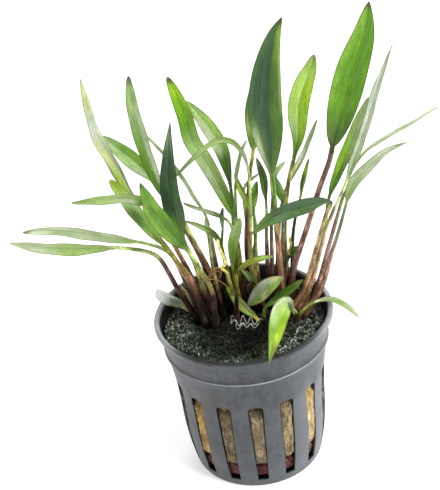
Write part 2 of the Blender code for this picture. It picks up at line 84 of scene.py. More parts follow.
class Finish:
    # a material built round one Principled shader
    def __init__(self, name, constants):
        self.material = bpy.data.materials.new(name)
        self.material.use_nodes = True
        self.tree = self.material.node_tree
        self.shader = self.tree.nodes["Principled BSDF"]
        for socketName, value in constants.items():
            self.shader.inputs[socketName].default_value = value

    def add(self, kind, settings=None, sockets=None, output=0):
        # the one way in which nodes are made: type, settings, then values or links of its sockets
        node = self.tree.nodes.new(kind)
        for key, value in (settings or {}).items():
            if key == "stops":
                self.setStops(node.color_ramp, value)
            else:
                setattr(node, key, value)
        for key, value in (sockets or {}).items():
            self.feed(node.inputs[key], value)
        return Wire(self, node.outputs[output])

    def setStops(self, ramp, stops):
        while len(ramp.elements) < len(stops):
            ramp.elements.new(1.0)
        for element, (position, colour) in zip(ramp.elements, stops):
            element.position = position
            element.color = (*colour, 1.0)

    def feed(self, socket, value):
        if isinstance(value, Wire):
            self.tree.links.new(value.socket, socket)
        elif isinstance(value, tuple) and socket.type == "RGBA":
            socket.default_value = (*value, 1.0)
        else:
            socket.default_value = value

    def math(self, operation, *values):
        return self.add("ShaderNodeMath", {"operation": operation}, dict(enumerate(values)))

    def place(self):
        return self.add("ShaderNodeTexCoord", output=3)

    def reading(self, name):
        # a number kept on the mesh's points
        return self.add("ShaderNodeAttribute", {"attribute_name": name}, output=2)

    def toneReading(self, name):
        # a colour kept on the mesh's points
        return self.add("ShaderNodeAttribute", {"attribute_name": name})

    def vector(self, x, y, z):
        return self.add("ShaderNodeCombineXYZ", None, {0: x, 1: y, 2: z})

    def grain(self, at, perMillimetre, detail=3.0, roughness=0.5):
        # soft noise from 0 to 1 in metre coordinates
        sockets = {"Vector": at, "Scale": perMillimetre / mm, "Detail": detail, "Roughness": roughness}
        return self.add("ShaderNodeTexNoise", None, sockets)

    def cells(self, at, perMillimetre):
        # distance to the nearest of many scattered points
        return self.add("ShaderNodeTexVoronoi", None, {"Vector": at, "Scale": perMillimetre / mm})

    def step(self, value, low, high):
        # 0 below low, 1 above high, and smooth between
        sockets = {"Value": value, "From Min": low, "From Max": high}
        return self.add("ShaderNodeMapRange", {"interpolation_type": "SMOOTHSTEP"}, sockets)

    def ramp(self, value, stops):
        return self.add("ShaderNodeValToRGB", {"stops": stops}, {0: value})

    def mix(self, share, first, second, blend="MIX"):
        settings = {"data_type": "RGBA", "blend_type": blend}
        return self.add("ShaderNodeMix", settings, {0: share, 6: first, 7: second}, output=2)

    def band(self, value, start, full, fading, end):
        # 1 from full to fading, and 0 before start and after end
        return self.step(value, start, full) * (1 - self.step(value, fading, end))

    def stretch(self, at, shares):
        # coordinates drawn out along the axes whose share is under 1
        return self.add("ShaderNodeVectorMath", {"operation": "MULTIPLY"}, {0: at, 1: shares})

    def bump(self, height, depth):
        # height from 0 to 1 stands for a depth in millimetres
        sockets = {"Strength": 1.0, "Distance": depth * mm, "Height": height}
        return self.add("ShaderNodeBump", None, sockets)

    def wear(self, **wires):
        # links what changes over the surface to the shader
        for socketName, wire in wires.items():
            self.feed(self.shader.inputs[socketName.replace("_", " ")], wire)
        return self.material


def screen(red, green, blue):
    # a colour as a screen gives it, from 0 to 255, turned into linear light
    levels = []
    for level in (red, green, blue):
        share = level / 255
        levels.append(share / 12.92 if share <= 0.04045 else ((share + 0.055) / 1.055) ** 2.4)
    return tuple(levels)


def blendTones(first, second, share):
    return tuple(a + (b - a) * share for a, b in zip(first, second))


def easeStep(value, low, high):
    share = min(1.0, max(0.0, (value - low) / (high - low)))
    return share * share * (3 - 2 * share)


def wobble(x, y, z, size):
    # smooth noise from about -1 to 1, with lumps of the given size in millimetres
    return noise.noise(Vector((x / size, y / size, z / size)))


# Meshes

def makePiece(name, points, faces, material, nodes=(), values=None, tones=None, crease=None):
    # points are in millimetres; values and tones hold what the finish reads off them
    mesh = bpy.data.meshes.new(name)
    mesh.from_pydata([(x * mm, y * mm, z * mm) for x, y, z in points], [], faces)
    for valueName, numbers in (values or {}).items():
        mesh.attributes.new(valueName, "FLOAT", "POINT").data.foreach_set("value", numbers)
    for toneName, colours in (tones or {}).items():
        flat = [level for colour in colours for level in (*colour, 1.0)]
        mesh.attributes.new(toneName, "FLOAT_COLOR", "POINT").data.foreach_set("color", flat)
    mesh.shade_smooth()
    if crease:
        mesh.set_sharp_from_angle(angle=math.radians(crease))
    mesh.materials.append(material)
    piece = bpy.data.objects.new(name, mesh)
    bpy.context.scene.collection.objects.link(piece)
    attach(piece, "root")
    if nodes:
        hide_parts(*nodes)
    return piece


def joinRings(low, high, count):
    # quads between two closed rings, each given by the number of its first point
    faces = []
    for i in range(count):
        j = (i + 1) % count
        faces.append((low + i, low + j, high + j, high + i))
    return faces


def ringFaces(rings, count, first=0):
    # quads between rings of points numbered one after another
    faces = []
    for k in range(rings - 1):
        faces += joinRings(first + k * count, first + (k + 1) * count, count)
    return faces


def cap(first, count, flip=False):
    # one face over a whole ring
    ring = range(first, first + count)
    return tuple(reversed(ring)) if flip else tuple(ring)


def fan(middle, count):
    # triangles from a middle point to the ring that was made first
    return [(middle, i, (i + 1) % count) for i in range(count)]


def potPlace(radius, angle, z):
    # a place round the pot, from the front to the right as seen from the camera
    return radius * math.sin(angle), -radius * math.cos(angle), z


def smoothRoute(points, stepsPerSpan):
    # points along a smooth curve that passes through all the given ones
    points = [Vector(p) for p in points]
    ends = [points[0] * 2 - points[1]] + points + [points[-1] * 2 - points[-2]]
    route = []
    for k in range(1, len(ends) - 2):
        around = ends[k - 1:k + 3]
        knots = [0.0]
        for a, b in zip(around, around[1:]):
            knots.append(knots[-1] + math.sqrt((b - a).length))
        for step in range(stepsPerSpan):
            t = knots[1] + (knots[2] - knots[1]) * step / stepsPerSpan
            level = around
            for order in (1, 2, 3):
                row = []
                for i in range(len(level) - 1):
                    low = knots[max(i, 1) if order == 3 else i]
                    high = knots[min(i + order, 2) if order == 3 else i + order]
                    row.append(level[i].lerp(level[i + 1], (t - low) / (high - low)))
                level = row
            route.append(level[0])
    route.append(points[-1])
    return route


def routeLengths(route):
    lengths = [0.0]
    for a, b in zip(route, route[1:]):
        lengths.append(lengths[-1] + (b - a).length)
    return lengths


def placesAlong(route, lengths, marks):
    # places on a route at given distances from its start, in rising order
    places = []
    k = 0
    for mark in marks:
        while k < len(lengths) - 2 and lengths[k + 1] < mark:
            k += 1
        share = (mark - lengths[k]) / (lengths[k + 1] - lengths[k])
        places.append(route[k].lerp(route[k + 1], share))
    return places


class Strands:
    # many thin round threads in one mesh
    def __init__(self):
        self.points = []
        self.faces = []

    def addThread(self, route, radii, sides=3):
        first = len(self.points)
        last = len(route) - 1
        side = Vector((0.3, 0.2, 1)).normalized()
        for k, place in enumerate(route):
            along = (route[min(k + 1, last)] - route[max(k - 1, 0)]).normalized()
            side = (side - along * side.dot(along)).normalized()
            other = along.cross(side)
            for i in range(sides):
                angle = 2 * math.pi * i / sides
                self.points.append(place + (side * math.cos(angle) + other * math.sin(angle)) * radii[k])
        self.faces += ringFaces(len(route), sides, first)
        self.faces += [cap(first, sides, True), cap(first + last * sides, sides)]


# Camera, floor and light

view = {
    "place": (0.0, -281.8, 241.7),
    "yaw": -0.87,
    "down": 30.32,
    "roll": -7.56,
    "lens": 81.33,
    "frame": 36.0,
}


def setCamera():
    yaw = math.radians(view["yaw"])
    down = math.radians(view["down"])
    roll = math.radians(view["roll"])
    ahead = Vector((math.sin(yaw) * math.cos(down), math.cos(yaw) * math.cos(down), -math.sin(down)))
    level = ahead.cross(Vector((0, 0, 1))).normalized()
    upright = level.cross(ahead)
    right = level * math.cos(roll) + upright * math.sin(roll)
    top = upright * math.cos(roll) - level * math.sin(roll)
    camera = bpy.data.objects.new("camera", bpy.data.cameras.new("camera"))
    bpy.context.scene.collection.objects.link(camera)
    place = Vector(view["place"]) * mm
    camera.matrix_world = Matrix((
        (right.x, top.x, -ahead.x, place.x),
        (right.y, top.y, -ahead.y, place.y),
        (right.z, top.z, -ahead.z, place.z),
        (0, 0, 0, 1),
    ))
    camera.data.lens = view["lens"]
    camera.data.sensor_width = view["frame"]
    camera.data.clip_start = 0.01
    camera.data.dof.use_dof = False
    bpy.context.scene.camera = camera


studio = {
    "floorSize": 6.0,
    "floorTone": (0.93, 0.93, 0.93),
    "floorCloud": 0.985,
    "skyTone": (0.97, 0.985, 1.0),
    "skyStrength": 0.38,
    "floorGlow": 0.42,
    "lamps": [
        # name, place and size in metres, watts
        ("keyLight", (0.62, -0.42, 0.85), 0.5, 14.5),
        ("fillLight", (-0.9, -0.6, 0.6), 0.9, 3.0),
        ("backLight", (0.1, 0.9, 0.8), 0.8, 6.0),
    ],
    "aim": (0, 0, 0.07),
}


def setStudio():
    half = studio["floorSize"] / 2
    mesh = bpy.data.meshes.new("floor")
    corners = [(-half, -half, 0), (half, -half, 0), (half, half, 0), (-half, half, 0)]
    mesh.from_pydata(corners, [], [(0, 1, 2, 3)])
    glow = {"Emission Color": (1, 1, 1, 1), "Emission Strength": studio["floorGlow"]}
    finish = Finish("paleFloor", {"Roughness": 0.9, "Specular IOR Level": 0.1, **glow})
    cloud = finish.grain(finish.place(), 0.01)
    low = tuple(level * studio["floorCloud"] for level in studio["floorTone"])
    tone = finish.ramp(cloud, [(0.3, low), (0.7, studio["floorTone"])])
    mesh.materials.append(finish.wear(Base_Color=tone))
    floor = bpy.data.objects.new("floor", mesh)
    bpy.context.scene.collection.objects.link(floor)
    world = bpy.data.worlds.new("studio")
    bpy.context.scene.world = world
    world.use_nodes = True
    sky = world.node_tree.nodes["Background"].inputs
    sky["Color"].default_value = (*studio["skyTone"], 1)
    sky["Strength"].default_value = studio["skyStrength"]
    for name, place, size, watts in studio["lamps"]:
        light = bpy.data.lights.new(name, "AREA")
        light.size = size
        light.energy = watts
        lamp = bpy.data.objects.new(name, light)
        bpy.context.scene.collection.objects.link(lamp)
        lamp.location = place
        aim = Vector(studio["aim"]) - Vector(place)
        lamp.rotation_euler = aim.to_track_quat("-Z", "Y").to_euler()
    bpy.context.scene.view_settings.view_transform = "Standard"


setCamera()
setStudio()
print("camera and studio set")


# Net pot

pot = {
    "slots": 15,
    "slotFootDegrees": 8.8,
    "slotTopDegrees": 11.4,
    "slotFoot": 3.1,
    "slotTop": 32.0,
    "slotCells": 8,
    "ribCells": 7,
    "archHeight": 1.4,
    "wall": 0.8,
    "wobble": 0.1,
    "bevel": 0.16,
    "drainEvery": 3,
    # outer radius and height, inner radius and height, from the middle of the floor up to the slots
    "foot": [
        (8, 0, 8, 0.9), (15, 0, 15, 0.9), (18.8, 0, 18.4, 0.9), (19.9, 0.02, 19.2, 0.95),
        (20.35, 0.22, 19.6, 1.1), (20.65, 0.7, 19.9, 1.4), (21.1, 3.1, 20.3, 3.1),
    ],
    # outer radius and height of the slotted wall
    "wallBend": [(21.1, 3.1), (22.1, 9), (22.8, 16.5), (23.1, 25), (23.5, 32), (24.1, 37)],
    "slotRows": 12,
    # and from the tops of the slots over the ridge, up the collar and round the lip
    "upper": [
        (23.5, 32, 22.7, 32), (23.68, 33.8, 22.88, 33.8), (23.98, 36, 23.18, 36), (24.35, 38.5, 23.55, 38.5),
        (24.7, 41, 23.9, 41), (24.95, 42.7, 24.15, 42.7), (25.2, 42.95, 24.17, 42.95),
        (25.55, 43.15, 24.19, 43.1),
        (25.68, 43.42, 24.21, 43.3), (25.6, 43.72, 24.24, 43.6), (25.32, 43.95, 24.3, 43.9),
        (25.22, 44.4, 24.42, 44.4), (25.55, 46.4, 24.75, 46.4), (25.95, 48.8, 25.15, 48.8),
        (26.35, 50.9, 25.55, 50.9), (26.5, 51.3, 25.65, 51.2), (26.9, 51.42, 25.7, 51.4),
        (27.4, 51.5, 25.75, 51.6), (27.55, 51.8, 25.82, 52), (27.5, 52.5, 25.95, 52.5),
        (27.3, 52.9, 26.1, 52.85), (26.95, 53.02, 26.4, 52.98),
    ],
    "drainRow": 0,
    # heights over which the lip and the painted shade on its top begin, and the foot's painted shade and the
    # slotted wall end
    "lip": (51.5, 52.2),
    "lipShade": (52.45, 52.8),
    "footShade": (0.4, 4.0),
    "slottedWall": (30.0, 36.0),
    # where the ridge and the crease below it begin, are full, fade and end
    "ridge": (43.45, 43.6, 43.8, 43.95),
    "crease": (42.1, 42.6, 42.9, 43.2),
    "tones": {
        "dark": screen(20, 23, 26), "light": screen(51, 56, 62), "paintedSheen": screen(120, 125, 132),
        "streak": screen(98, 104, 112), "wearAndHighlight": screen(176, 178, 182), "shade": screen(30, 31, 33),
        "paintedShade": screen(14, 15, 16), "inside": screen(16, 17, 18), "dirt": screen(52, 47, 40),
    },
}


def curveAt(stops, z):
    # radius at a height on a smooth line through (radius, height) stops
    k = 0
    while k < len(stops) - 2 and stops[k + 1][1] < z:
        k += 1
    around = [stops[min(max(n, 0), len(stops) - 1)] for n in (k - 1, k, k + 1, k + 2)]
    (r0, z0), (r1, z1), (r2, z2), (r3, z3) = around
    share = (z - z1) / (z2 - z1)
    slopeLow = (r2 - r0) / max(z2 - z0, 0.001) * (z2 - z1)
    slopeHigh = (r3 - r1) / max(z3 - z1, 0.001) * (z2 - z1)
    square, cube = share ** 2, share ** 3
    low = (2 * cube - 3 * square + 1) * r1 + (cube - 2 * square + share) * slopeLow
    return low + (3 * square - 2 * cube) * r2 + (cube - square) * slopeHigh


def slotHalfAngle(z):
    # the slots widen upwards
    share = min(1.0, max(0.0, (z - pot["slotFoot"]) / (pot["slotTop"] - pot["slotFoot"])))
    low, high = pot["slotFootDegrees"], pot["slotTopDegrees"]
    return math.radians(low + (high - low) * share) / 2


def potColumns():
    # middle of the slot, place across it or share of the rib, whether the next cell is open, arch height
    columns = []
    for slot in range(pot["slots"]):
        middle = 2 * math.pi * slot / pot["slots"]
        for i in range(pot["slotCells"]):
            across = -math.cos(math.pi * i / pot["slotCells"])
            arch = (1 - abs(across) ** 3) ** (1 / 3)
            columns.append((middle, across, 0.0, True, arch))
        for i in range(pot["ribCells"]):
            columns.append((middle, 1.0, i / pot["ribCells"], False, 0.0))
    return columns


def columnAngle(column, z):
    middle, across, ribShare, _, _ = column
    half = slotHalfAngle(z)
    return middle + half * across + (2 * math.pi / pot["slots"] - 2 * half) * ribShare


def potRows():
    rows = list(pot["foot"])
    for i in range(1, pot["slotRows"]):
        z = pot["slotFoot"] + (pot["slotTop"] - pot["slotFoot"]) * i / pot["slotRows"]
        radius = curveAt(pot["wallBend"], z)
        rows.append((radius, z, radius - pot["wall"], z))
    return rows + pot["upper"]


def makePotFinish():
    finish = Finish("slatePlastic", {"IOR": 1.5, "Coat Weight": 0.1, "Coat Roughness": 0.2})
    place = finish.place()
    height = finish.reading("height")
    facing = finish.reading("facing")
    side = finish.reading("side")
    cloud = finish.grain(place, 0.13, 5.0, 0.65)
    haze = finish.grain(place, 0.5, 5.0, 0.7)
    film = finish.step(cloud * 0.65 + haze * 0.35, 0.4, 0.6)
    run = finish.grain(finish.stretch(place, (1.0, 1.0, 0.12)), 0.9, 3.0, 0.6)
    streaks = finish.step(run, 0.56, 0.74)
    specks = 1 - finish.step(finish.cells(place, 0.8), 0.1, 0.2)
    dirt = specks * finish.step(finish.grain(place, 0.3), 0.52, 0.62)
    lip = finish.step(height, *pot["lip"])
    paintedShade = finish.step(height, *pot["lipShade"]) * facing
    ridge = finish.band(height, *pot["ridge"])
    crease = finish.band(height, *pot["crease"])
    foot = 1 - finish.step(height, *pot["footShade"])
    low = 1 - finish.step(height, *pot["slottedWall"])
    # how much each layer covers those before it
    layers = {
        # painted sheen: the wall's right side is lighter, most of all low on the slotted wall, and the
        # slotted wall is a little lighter except on its left side
        "paintedSheen": low * finish.step(side, 0.25, 0.4) * 0.1 + finish.step(side, 0.6, 0.85) * (0.08 + low * 0.2),
        "streak": streaks * 0.2,
        # wear with a painted highlight, on the lip at the sides and along the ridge
        "wearAndHighlight": (lip * (1 - facing) + ridge) * (0.25 + haze * 0.5),
        "shade": crease * 0.45 + foot * 0.35,
        # painted shade and a painted dark reflection on the lip's top at the front and the back
        "paintedShade": paintedShade * 0.85,
        # painted shade on the inner wall below the lip
        "inside": finish.reading("inside") * (1 - lip),
        "dirt": dirt * 0.5,
    }
    tone = finish.mix(film, pot["tones"]["dark"], pot["tones"]["light"])
    for name, share in layers.items():
        tone = finish.mix(share, tone, pot["tones"][name])
    fine = finish.grain(place, 4.0, 2.0)
    relief = finish.bump(fine * 0.5 + haze * 0.9 + specks * 0.3, 0.1)
    return finish.wear(Base_Color=tone, Roughness=0.34 + haze * 0.16 + streaks * 0.12, Normal=relief)


def makePot():
    columns = potColumns()
    rows = potRows()
    count = len(columns)
    slotRow = len(pot["foot"]) - 1
    archRow = slotRow + pot["slotRows"]
    archShares = {archRow: 1.0, archRow + 1: 0.5, archRow + 2: 0.2, archRow - 1: 0.15}
    points = []
    for side in (0, 1):
        for k, row in enumerate(rows):
            radius, z = row[side * 2], row[side * 2 + 1]
            for column in columns:
                angle = columnAngle(column, z)
                lift = pot["archHeight"] * column[4] * archShares.get(k, 0.0)
                lump = wobble(math.sin(angle) * 30, math.cos(angle) * 30, z, 14) * pot["wobble"]
                points.append(potPlace(radius + lump * min(1.0, z / 6), angle, z + lift))
    inner = len(rows) * count
    perSlot = pot["slotCells"] + pot["ribCells"]

    def isOpen(k, i):
        if not columns[i % count][3]:
            return False
        if slotRow <= k < archRow:
            return True
        return k == pot["drainRow"] and (i // perSlot) % pot["drainEvery"] == 0

    faces = []
    for k in range(len(rows) - 1):
        for i in range(count):
            j = (i + 1) % count
            outerCell = (k * count + i, k * count + j, (k + 1) * count + j, (k + 1) * count + i)
            a, b, c, d = outerCell
            if not isOpen(k, i):
                faces.append(outerCell)
                faces.append((inner + b, inner + a, inner + d, inner + c))
                continue
            if not isOpen(k, i - 1):
                faces.append((a, inner + a, inner + d, d))
            if not isOpen(k, j):
                faces.append((inner + b, b, c, inner + c))
            if k == 0 or not isOpen(k - 1, i):
                faces.append((b, inner + b, inner + a, a))
            if not isOpen(k + 1, i):
                faces.append((d, inner + d, inner + c, c))
    faces += [cap(0, count, True), cap(inner, count)]
    top = (len(rows) - 1) * count
    faces += joinRings(top, inner + top, count)
    values = {
        "height": [z for _, _, z in points],
        # 1 on the inner wall, which gets painted shade
        "inside": [0.0] * inner + [1.0] * (len(points) - inner),
        # painted shade and a painted dark reflection darken the lip's top at the front and the back, and wear
        # with a painted highlight brightens the lip at the sides
        "facing": [easeStep(abs(y) / math.hypot(x, y), 0.45, 0.85) for x, y, _ in points],
        # from 0 on the left to 1 on the right
        "side": [0.5 + 0.5 * x / math.hypot(x, y) for x, y, _ in points],
    }
    finish = makePotFinish()
    piece = makePiece("pot_body", points, faces, finish, ["net_pot"], values, crease=38)
    bevel = piece.modifiers.new("softEdges", "BEVEL")
    bevel.width = pot["bevel"] * mm
    bevel.segments = 2
    bevel.limit_method = "ANGLE"
    bevel.angle_limit = math.radians(50)


makePot()
print("pot made")


# Clay ring in the foot of the pot

clay = {
    "outer": 20.1, "inner": 8.0, "foot": 1.25, "top": 7.9, "round": 0.9,
    # its foot is narrower, up to the height of waistTop
    "waist": 17.3, "waistTop": 4.9,
    "turns": 160, "cornerSteps": 4, "faceSteps": 7,
    "lumpSize": 2.6, "gritSize": 0.9, "roughness": 0.28, "gritShare": 0.4, "mostRough": 0.2,
    "tones": [(0.3, screen(54, 28, 27)), (0.55, screen(108, 58, 56)), (0.75, screen(144, 92, 86))],
    "pitTone": screen(30, 16, 15),
}


def makeClayFinish():
    finish = Finish("firedClay", {"Specular IOR Level": 0.3})
    place = finish.place()
    grit = finish.grain(place, 2.2, 3.0, 0.7)
    body = finish.ramp(finish.grain(place, 0.25, 4.0, 0.6), clay["tones"])
    pits = 1 - finish.step(finish.cells(place, 0.9), 0.12, 0.3)
    # the pits darker
    pitted = finish.mix(pits * 0.6, body, clay["pitTone"])
    relief = finish.bump(grit - pits * 0.8, 0.25)
    return finish.wear(Base_Color=pitted, Roughness=0.8 + grit * 0.2, Normal=relief)


def clayProfile():
    # radius and height round the ring's section, with rounded corners
    low, high, edge = clay["foot"], clay["top"], clay["round"]
    corners = [
        (clay["outer"] - edge, low + edge, -90), (clay["outer"] - edge, high - edge, 0),
        (clay["inner"] + edge, high - edge, 90), (clay["inner"] + edge, low + edge, 180),
    ]
    profile = []
    for n, (x, z, start) in enumerate(corners):
        for i in range(clay["cornerSteps"] + 1):
            angle = math.radians(start + 90 * i / clay["cornerSteps"])
            profile.append((x + edge * math.cos(angle), z + edge * math.sin(angle)))
        nextX, nextZ, nextStart = corners[(n + 1) % 4]
        turn = math.radians(nextStart)
        begin = profile[-1]
        end = (nextX + edge * math.cos(turn), nextZ + edge * math.sin(turn))
        for i in range(1, clay["faceSteps"]):
            profile.append(blendTones(begin, end, i / clay["faceSteps"]))
    return profile


def makeClayRing():
    profile = clayProfile()
    turns = clay["turns"]
    points = []
    for radius, z in profile:
        if radius > (clay["outer"] + clay["inner"]) / 2:
            narrow = easeStep(z, clay["foot"], clay["waistTop"])
            radius = min(radius, clay["waist"] + (clay["outer"] - clay["waist"]) * narrow)
        for i in range(turns):
            angle = 2 * math.pi * i / turns
            x, y, _ = potPlace(radius, angle, z)
            rough = wobble(x, y, z, clay["lumpSize"]) * clay["roughness"]
            rough += wobble(x, y, z + 50, clay["gritSize"]) * clay["roughness"] * clay["gritShare"]
            points.append(potPlace(radius + min(rough, clay["mostRough"]), angle, z))
    rings = len(profile)
    faces = ringFaces(rings, turns) + joinRings((rings - 1) * turns, 0, turns)
    makePiece("clay_weight", points, faces, makeClayFinish(), ["clay_ring"])


makeClayRing()
print("clay ring made")


# Wool plug and its loose threads

wool = {
    # radius and height from the foot of the plug to its rim
    "profile": [
        (19.9, 8.6), (20.3, 9.6), (21.1, 16.5), (21.4, 25), (21.75, 32),
        (23.4, 42.5), (23.2, 43.6), (22.8, 44.1),
    ],
    "rows": 120,
    "turns": 480,
    # how far it swells into a slot, and how far it stays behind the wall's face there
    "bulge": 1.55,
    "flush": 0.2,
    "slotsEnd": 33,
    "lump": 0.5,
    "crumb": 0.3,
    # what the wool looks like in each slot, counted from the front to the right as seen from the camera; the
    # darkest ones, by the pot's sides, are painted shade
    "slotTones": [
        "grey", "tan", "cream", "shadedWool", "gold", "tan", "grey", "tan", "gold", "brown", "tan", "cream",
        "shadedWool", "gold", "brown",
    ],
    "threadsPerSlot": 95,
    "threadLength": (1.6, 4.8),
    "threadRadius": (0.035, 0.08),
    "footThreads": 36,
    "threadPoints": 6,
    "darkFelt": screen(48, 38, 24),
    "lightFelt": screen(232, 212, 168),
    "seed": 11,
}


def slotMiddle(angle, z):
    # from 1 in the middle of a slot to 0 beside it
    pitch = 2 * math.pi / pot["slots"]
    off = abs((angle + pitch / 2) % pitch - pitch / 2)
    return 1 - easeStep(off, slotHalfAngle(z) * 0.7, slotHalfAngle(z) * 1.1)


def woolRadius(angle, z):
    profile = wool["profile"]
    k = 0
    while k < len(profile) - 2 and profile[k + 1][1] < z:
        k += 1
    (r1, z1), (r2, z2) = profile[k], profile[k + 1]
    radius = r1 + (r2 - r1) * (z - z1) / (z2 - z1)
    x, y, _ = potPlace(radius, angle, z)
    radius += wool["bulge"] * slotMiddle(angle, z) * easeStep(z, 9, 12) * (1 - easeStep(z, 29, 32.6))
    radius += wobble(x, y, z, 3.4) * wool["lump"] + wobble(x, y + 70, z, 1.1) * wool["crumb"]
    if z >= wool["slotsEnd"]:
        return radius
    return min(radius, curveAt(pot["wallBend"], z) - wool["flush"])


woolTones = {
    "grey": screen(122, 104, 76), "brown": screen(112, 92, 64), "tan": screen(150, 128, 88),
    "gold": screen(188, 150, 74), "cream": screen(212, 188, 134), "shadedWool": screen(40, 34, 26),
}


def woolTone(angle, z):
    # the slot's own tone, golden at the top of the cream one and darkened by painted shade at the tops of the
    # others
    names = wool["slotTones"]
    slot = round(angle / (2 * math.pi) * len(names)) % len(names)
    tone = woolTones[names[slot]]
    x, y, _ = potPlace(22, angle, z)
    top = easeStep(z + wobble(x, y, z, 3.0) * 4, 24, 32)
    if names[slot] == "cream":
        tone = blendTones(tone, woolTones["gold"], top * 0.8)
    else:
        tone = blendTones(tone, woolTones["shadedWool"], top * 0.5)
    # painted shade where the wool lies back behind the wall at the slot's sides
    sunk = 1 - easeStep(slotMiddle(angle, z), 0.05, 0.5)
    return blendTones(tone, woolTones["shadedWool"], sunk * 0.6)


def makeWoolFinish(name):
    finish = Finish(name, {"Specular IOR Level": 0.2, "Sheen Weight": 0.25, "Sheen Roughness": 0.5})
    place = finish.place()
    tone = finish.toneReading("tone")
    fuzz = finish.grain(finish.stretch(place, (1.0, 1.0, 0.3)), 1.6, 5.0, 0.7)
    mottle = finish.grain(place, 0.3, 3.0, 0.6) * 0.5 + fuzz * 0.5
    deep = finish.mix((1 - finish.step(mottle, 0.38, 0.52)) * 0.7, tone, wool["darkFelt"])
    lit = finish.mix(finish.step(mottle, 0.52, 0.66) * 0.5, deep, wool["lightFelt"])
    return finish.wear(Base_Color=lit, Roughness=0.85 + fuzz * 0.15, Normal=finish.bump(fuzz, 0.4))


def makeWool():
    rows, turns = wool["rows"], wool["turns"]
    low, high = wool["profile"][0][1], wool["profile"][-1][1]
    points = []
    colours = []
    for k in range(rows):
        z = low + (high - low) * k / (rows - 1)
        for i in range(turns):
            angle = 2 * math.pi * i / turns
            points.append(potPlace(woolRadius(angle, z), angle, z))
            colours.append(woolTone(angle, z))
    faces = ringFaces(rows, turns)
    foot, top = len(points), len(points) + 1
    points += [(0, 0, low), (0, 0, high)]
    colours += [woolTones["shadedWool"]] * 2
    last = (rows - 1) * turns
    for i in range(turns):
        j = (i + 1) % turns
        faces.append((j, i, foot))
        faces.append((last + i, last + j, top))
    finish = makeWoolFinish("tanWool")
    makePiece("wool_body", points, faces, finish, ["wool_plug"], tones={"tone": colours})


def makeWoolThreads():
    rand = random.Random(wool["seed"])
    strands = Strands()
    colours = []
    pitch = 2 * math.pi / pot["slots"]
    last = wool["threadPoints"] - 1

    def addFibre(route, angle, z, taper):
        thick = rand.uniform(*wool["threadRadius"])
        strands.addThread(route, [thick * (1 - taper * k / last) for k in range(last + 1)])
        tone = blendTones(woolTone(angle, z), woolTones["cream"], rand.uniform(-0.2, 0.5))
        colours.extend([tuple(max(0.0, level) for level in tone)] * (len(strands.points) - len(colours)))

    def inSlot(angle, slot, reach):
        return min(max(angle, pitch * slot - reach), pitch * slot + reach)

    for slot in range(pot["slots"]):
        for n in range(wool["threadsPerSlot"]):
            z = rand.uniform(9.5, 31.5)
            half = slotHalfAngle(z - 3)
            angle = pitch * slot + rand.uniform(-0.92, 0.92) * half
            heading = rand.gauss(math.pi / 2, 0.5)
            length = rand.uniform(*wool["threadLength"])
            bend = rand.uniform(-0.5, 0.5)
            hop = rand.uniform(0.15, 0.6)
            route = []
            for k in range(last + 1):
                share = k / last
                turn = heading + bend * (share - 0.5)
                a = inSlot(angle + math.cos(turn) * length * (share - 0.5) / 24, slot, half * 0.95)
                h = min(max(z + math.sin(turn) * length * (share - 0.5), 9), 32)
                radius = woolRadius(a, h) + hop * math.sin(math.pi * share)
                radius = min(radius, curveAt(pot["wallBend"], h) - 0.05)
                route.append(Vector(potPlace(radius, a, h)))
            addFibre(route, angle, z, 0)
    # and loose ends that hang from the plug's foot over the clay
    for n in range(wool["footThreads"]):
        slot = rand.randrange(pot["slots"])
        half = slotHalfAngle(pot["slotFoot"])
        angle = pitch * slot + rand.uniform(-0.9, 0.9) * half
        z = rand.uniform(8.8, 10.5)
        drop = rand.uniform(1.2, 3.6)
        lean = rand.uniform(-0.05, 0.05)
        route = []
        for k in range(last + 1):
            share = k / last
            h = z - drop * share
            radius = curveAt(pot["wallBend"], h) - pot["wall"] - 0.7 + 0.9 * share
            route.append(Vector(potPlace(radius, inSlot(angle + lean * share, slot, half * 0.9), h)))
        addFibre(route, angle, z, 0.5)
    finish = makeWoolFinish("woolThread")
    makePiece("wool_threads", strands.points, strands.faces, finish, tones={"tone": colours})


makeWool()
makeWoolThreads()
print("wool made")


# Moss and dark peat on the plug's top

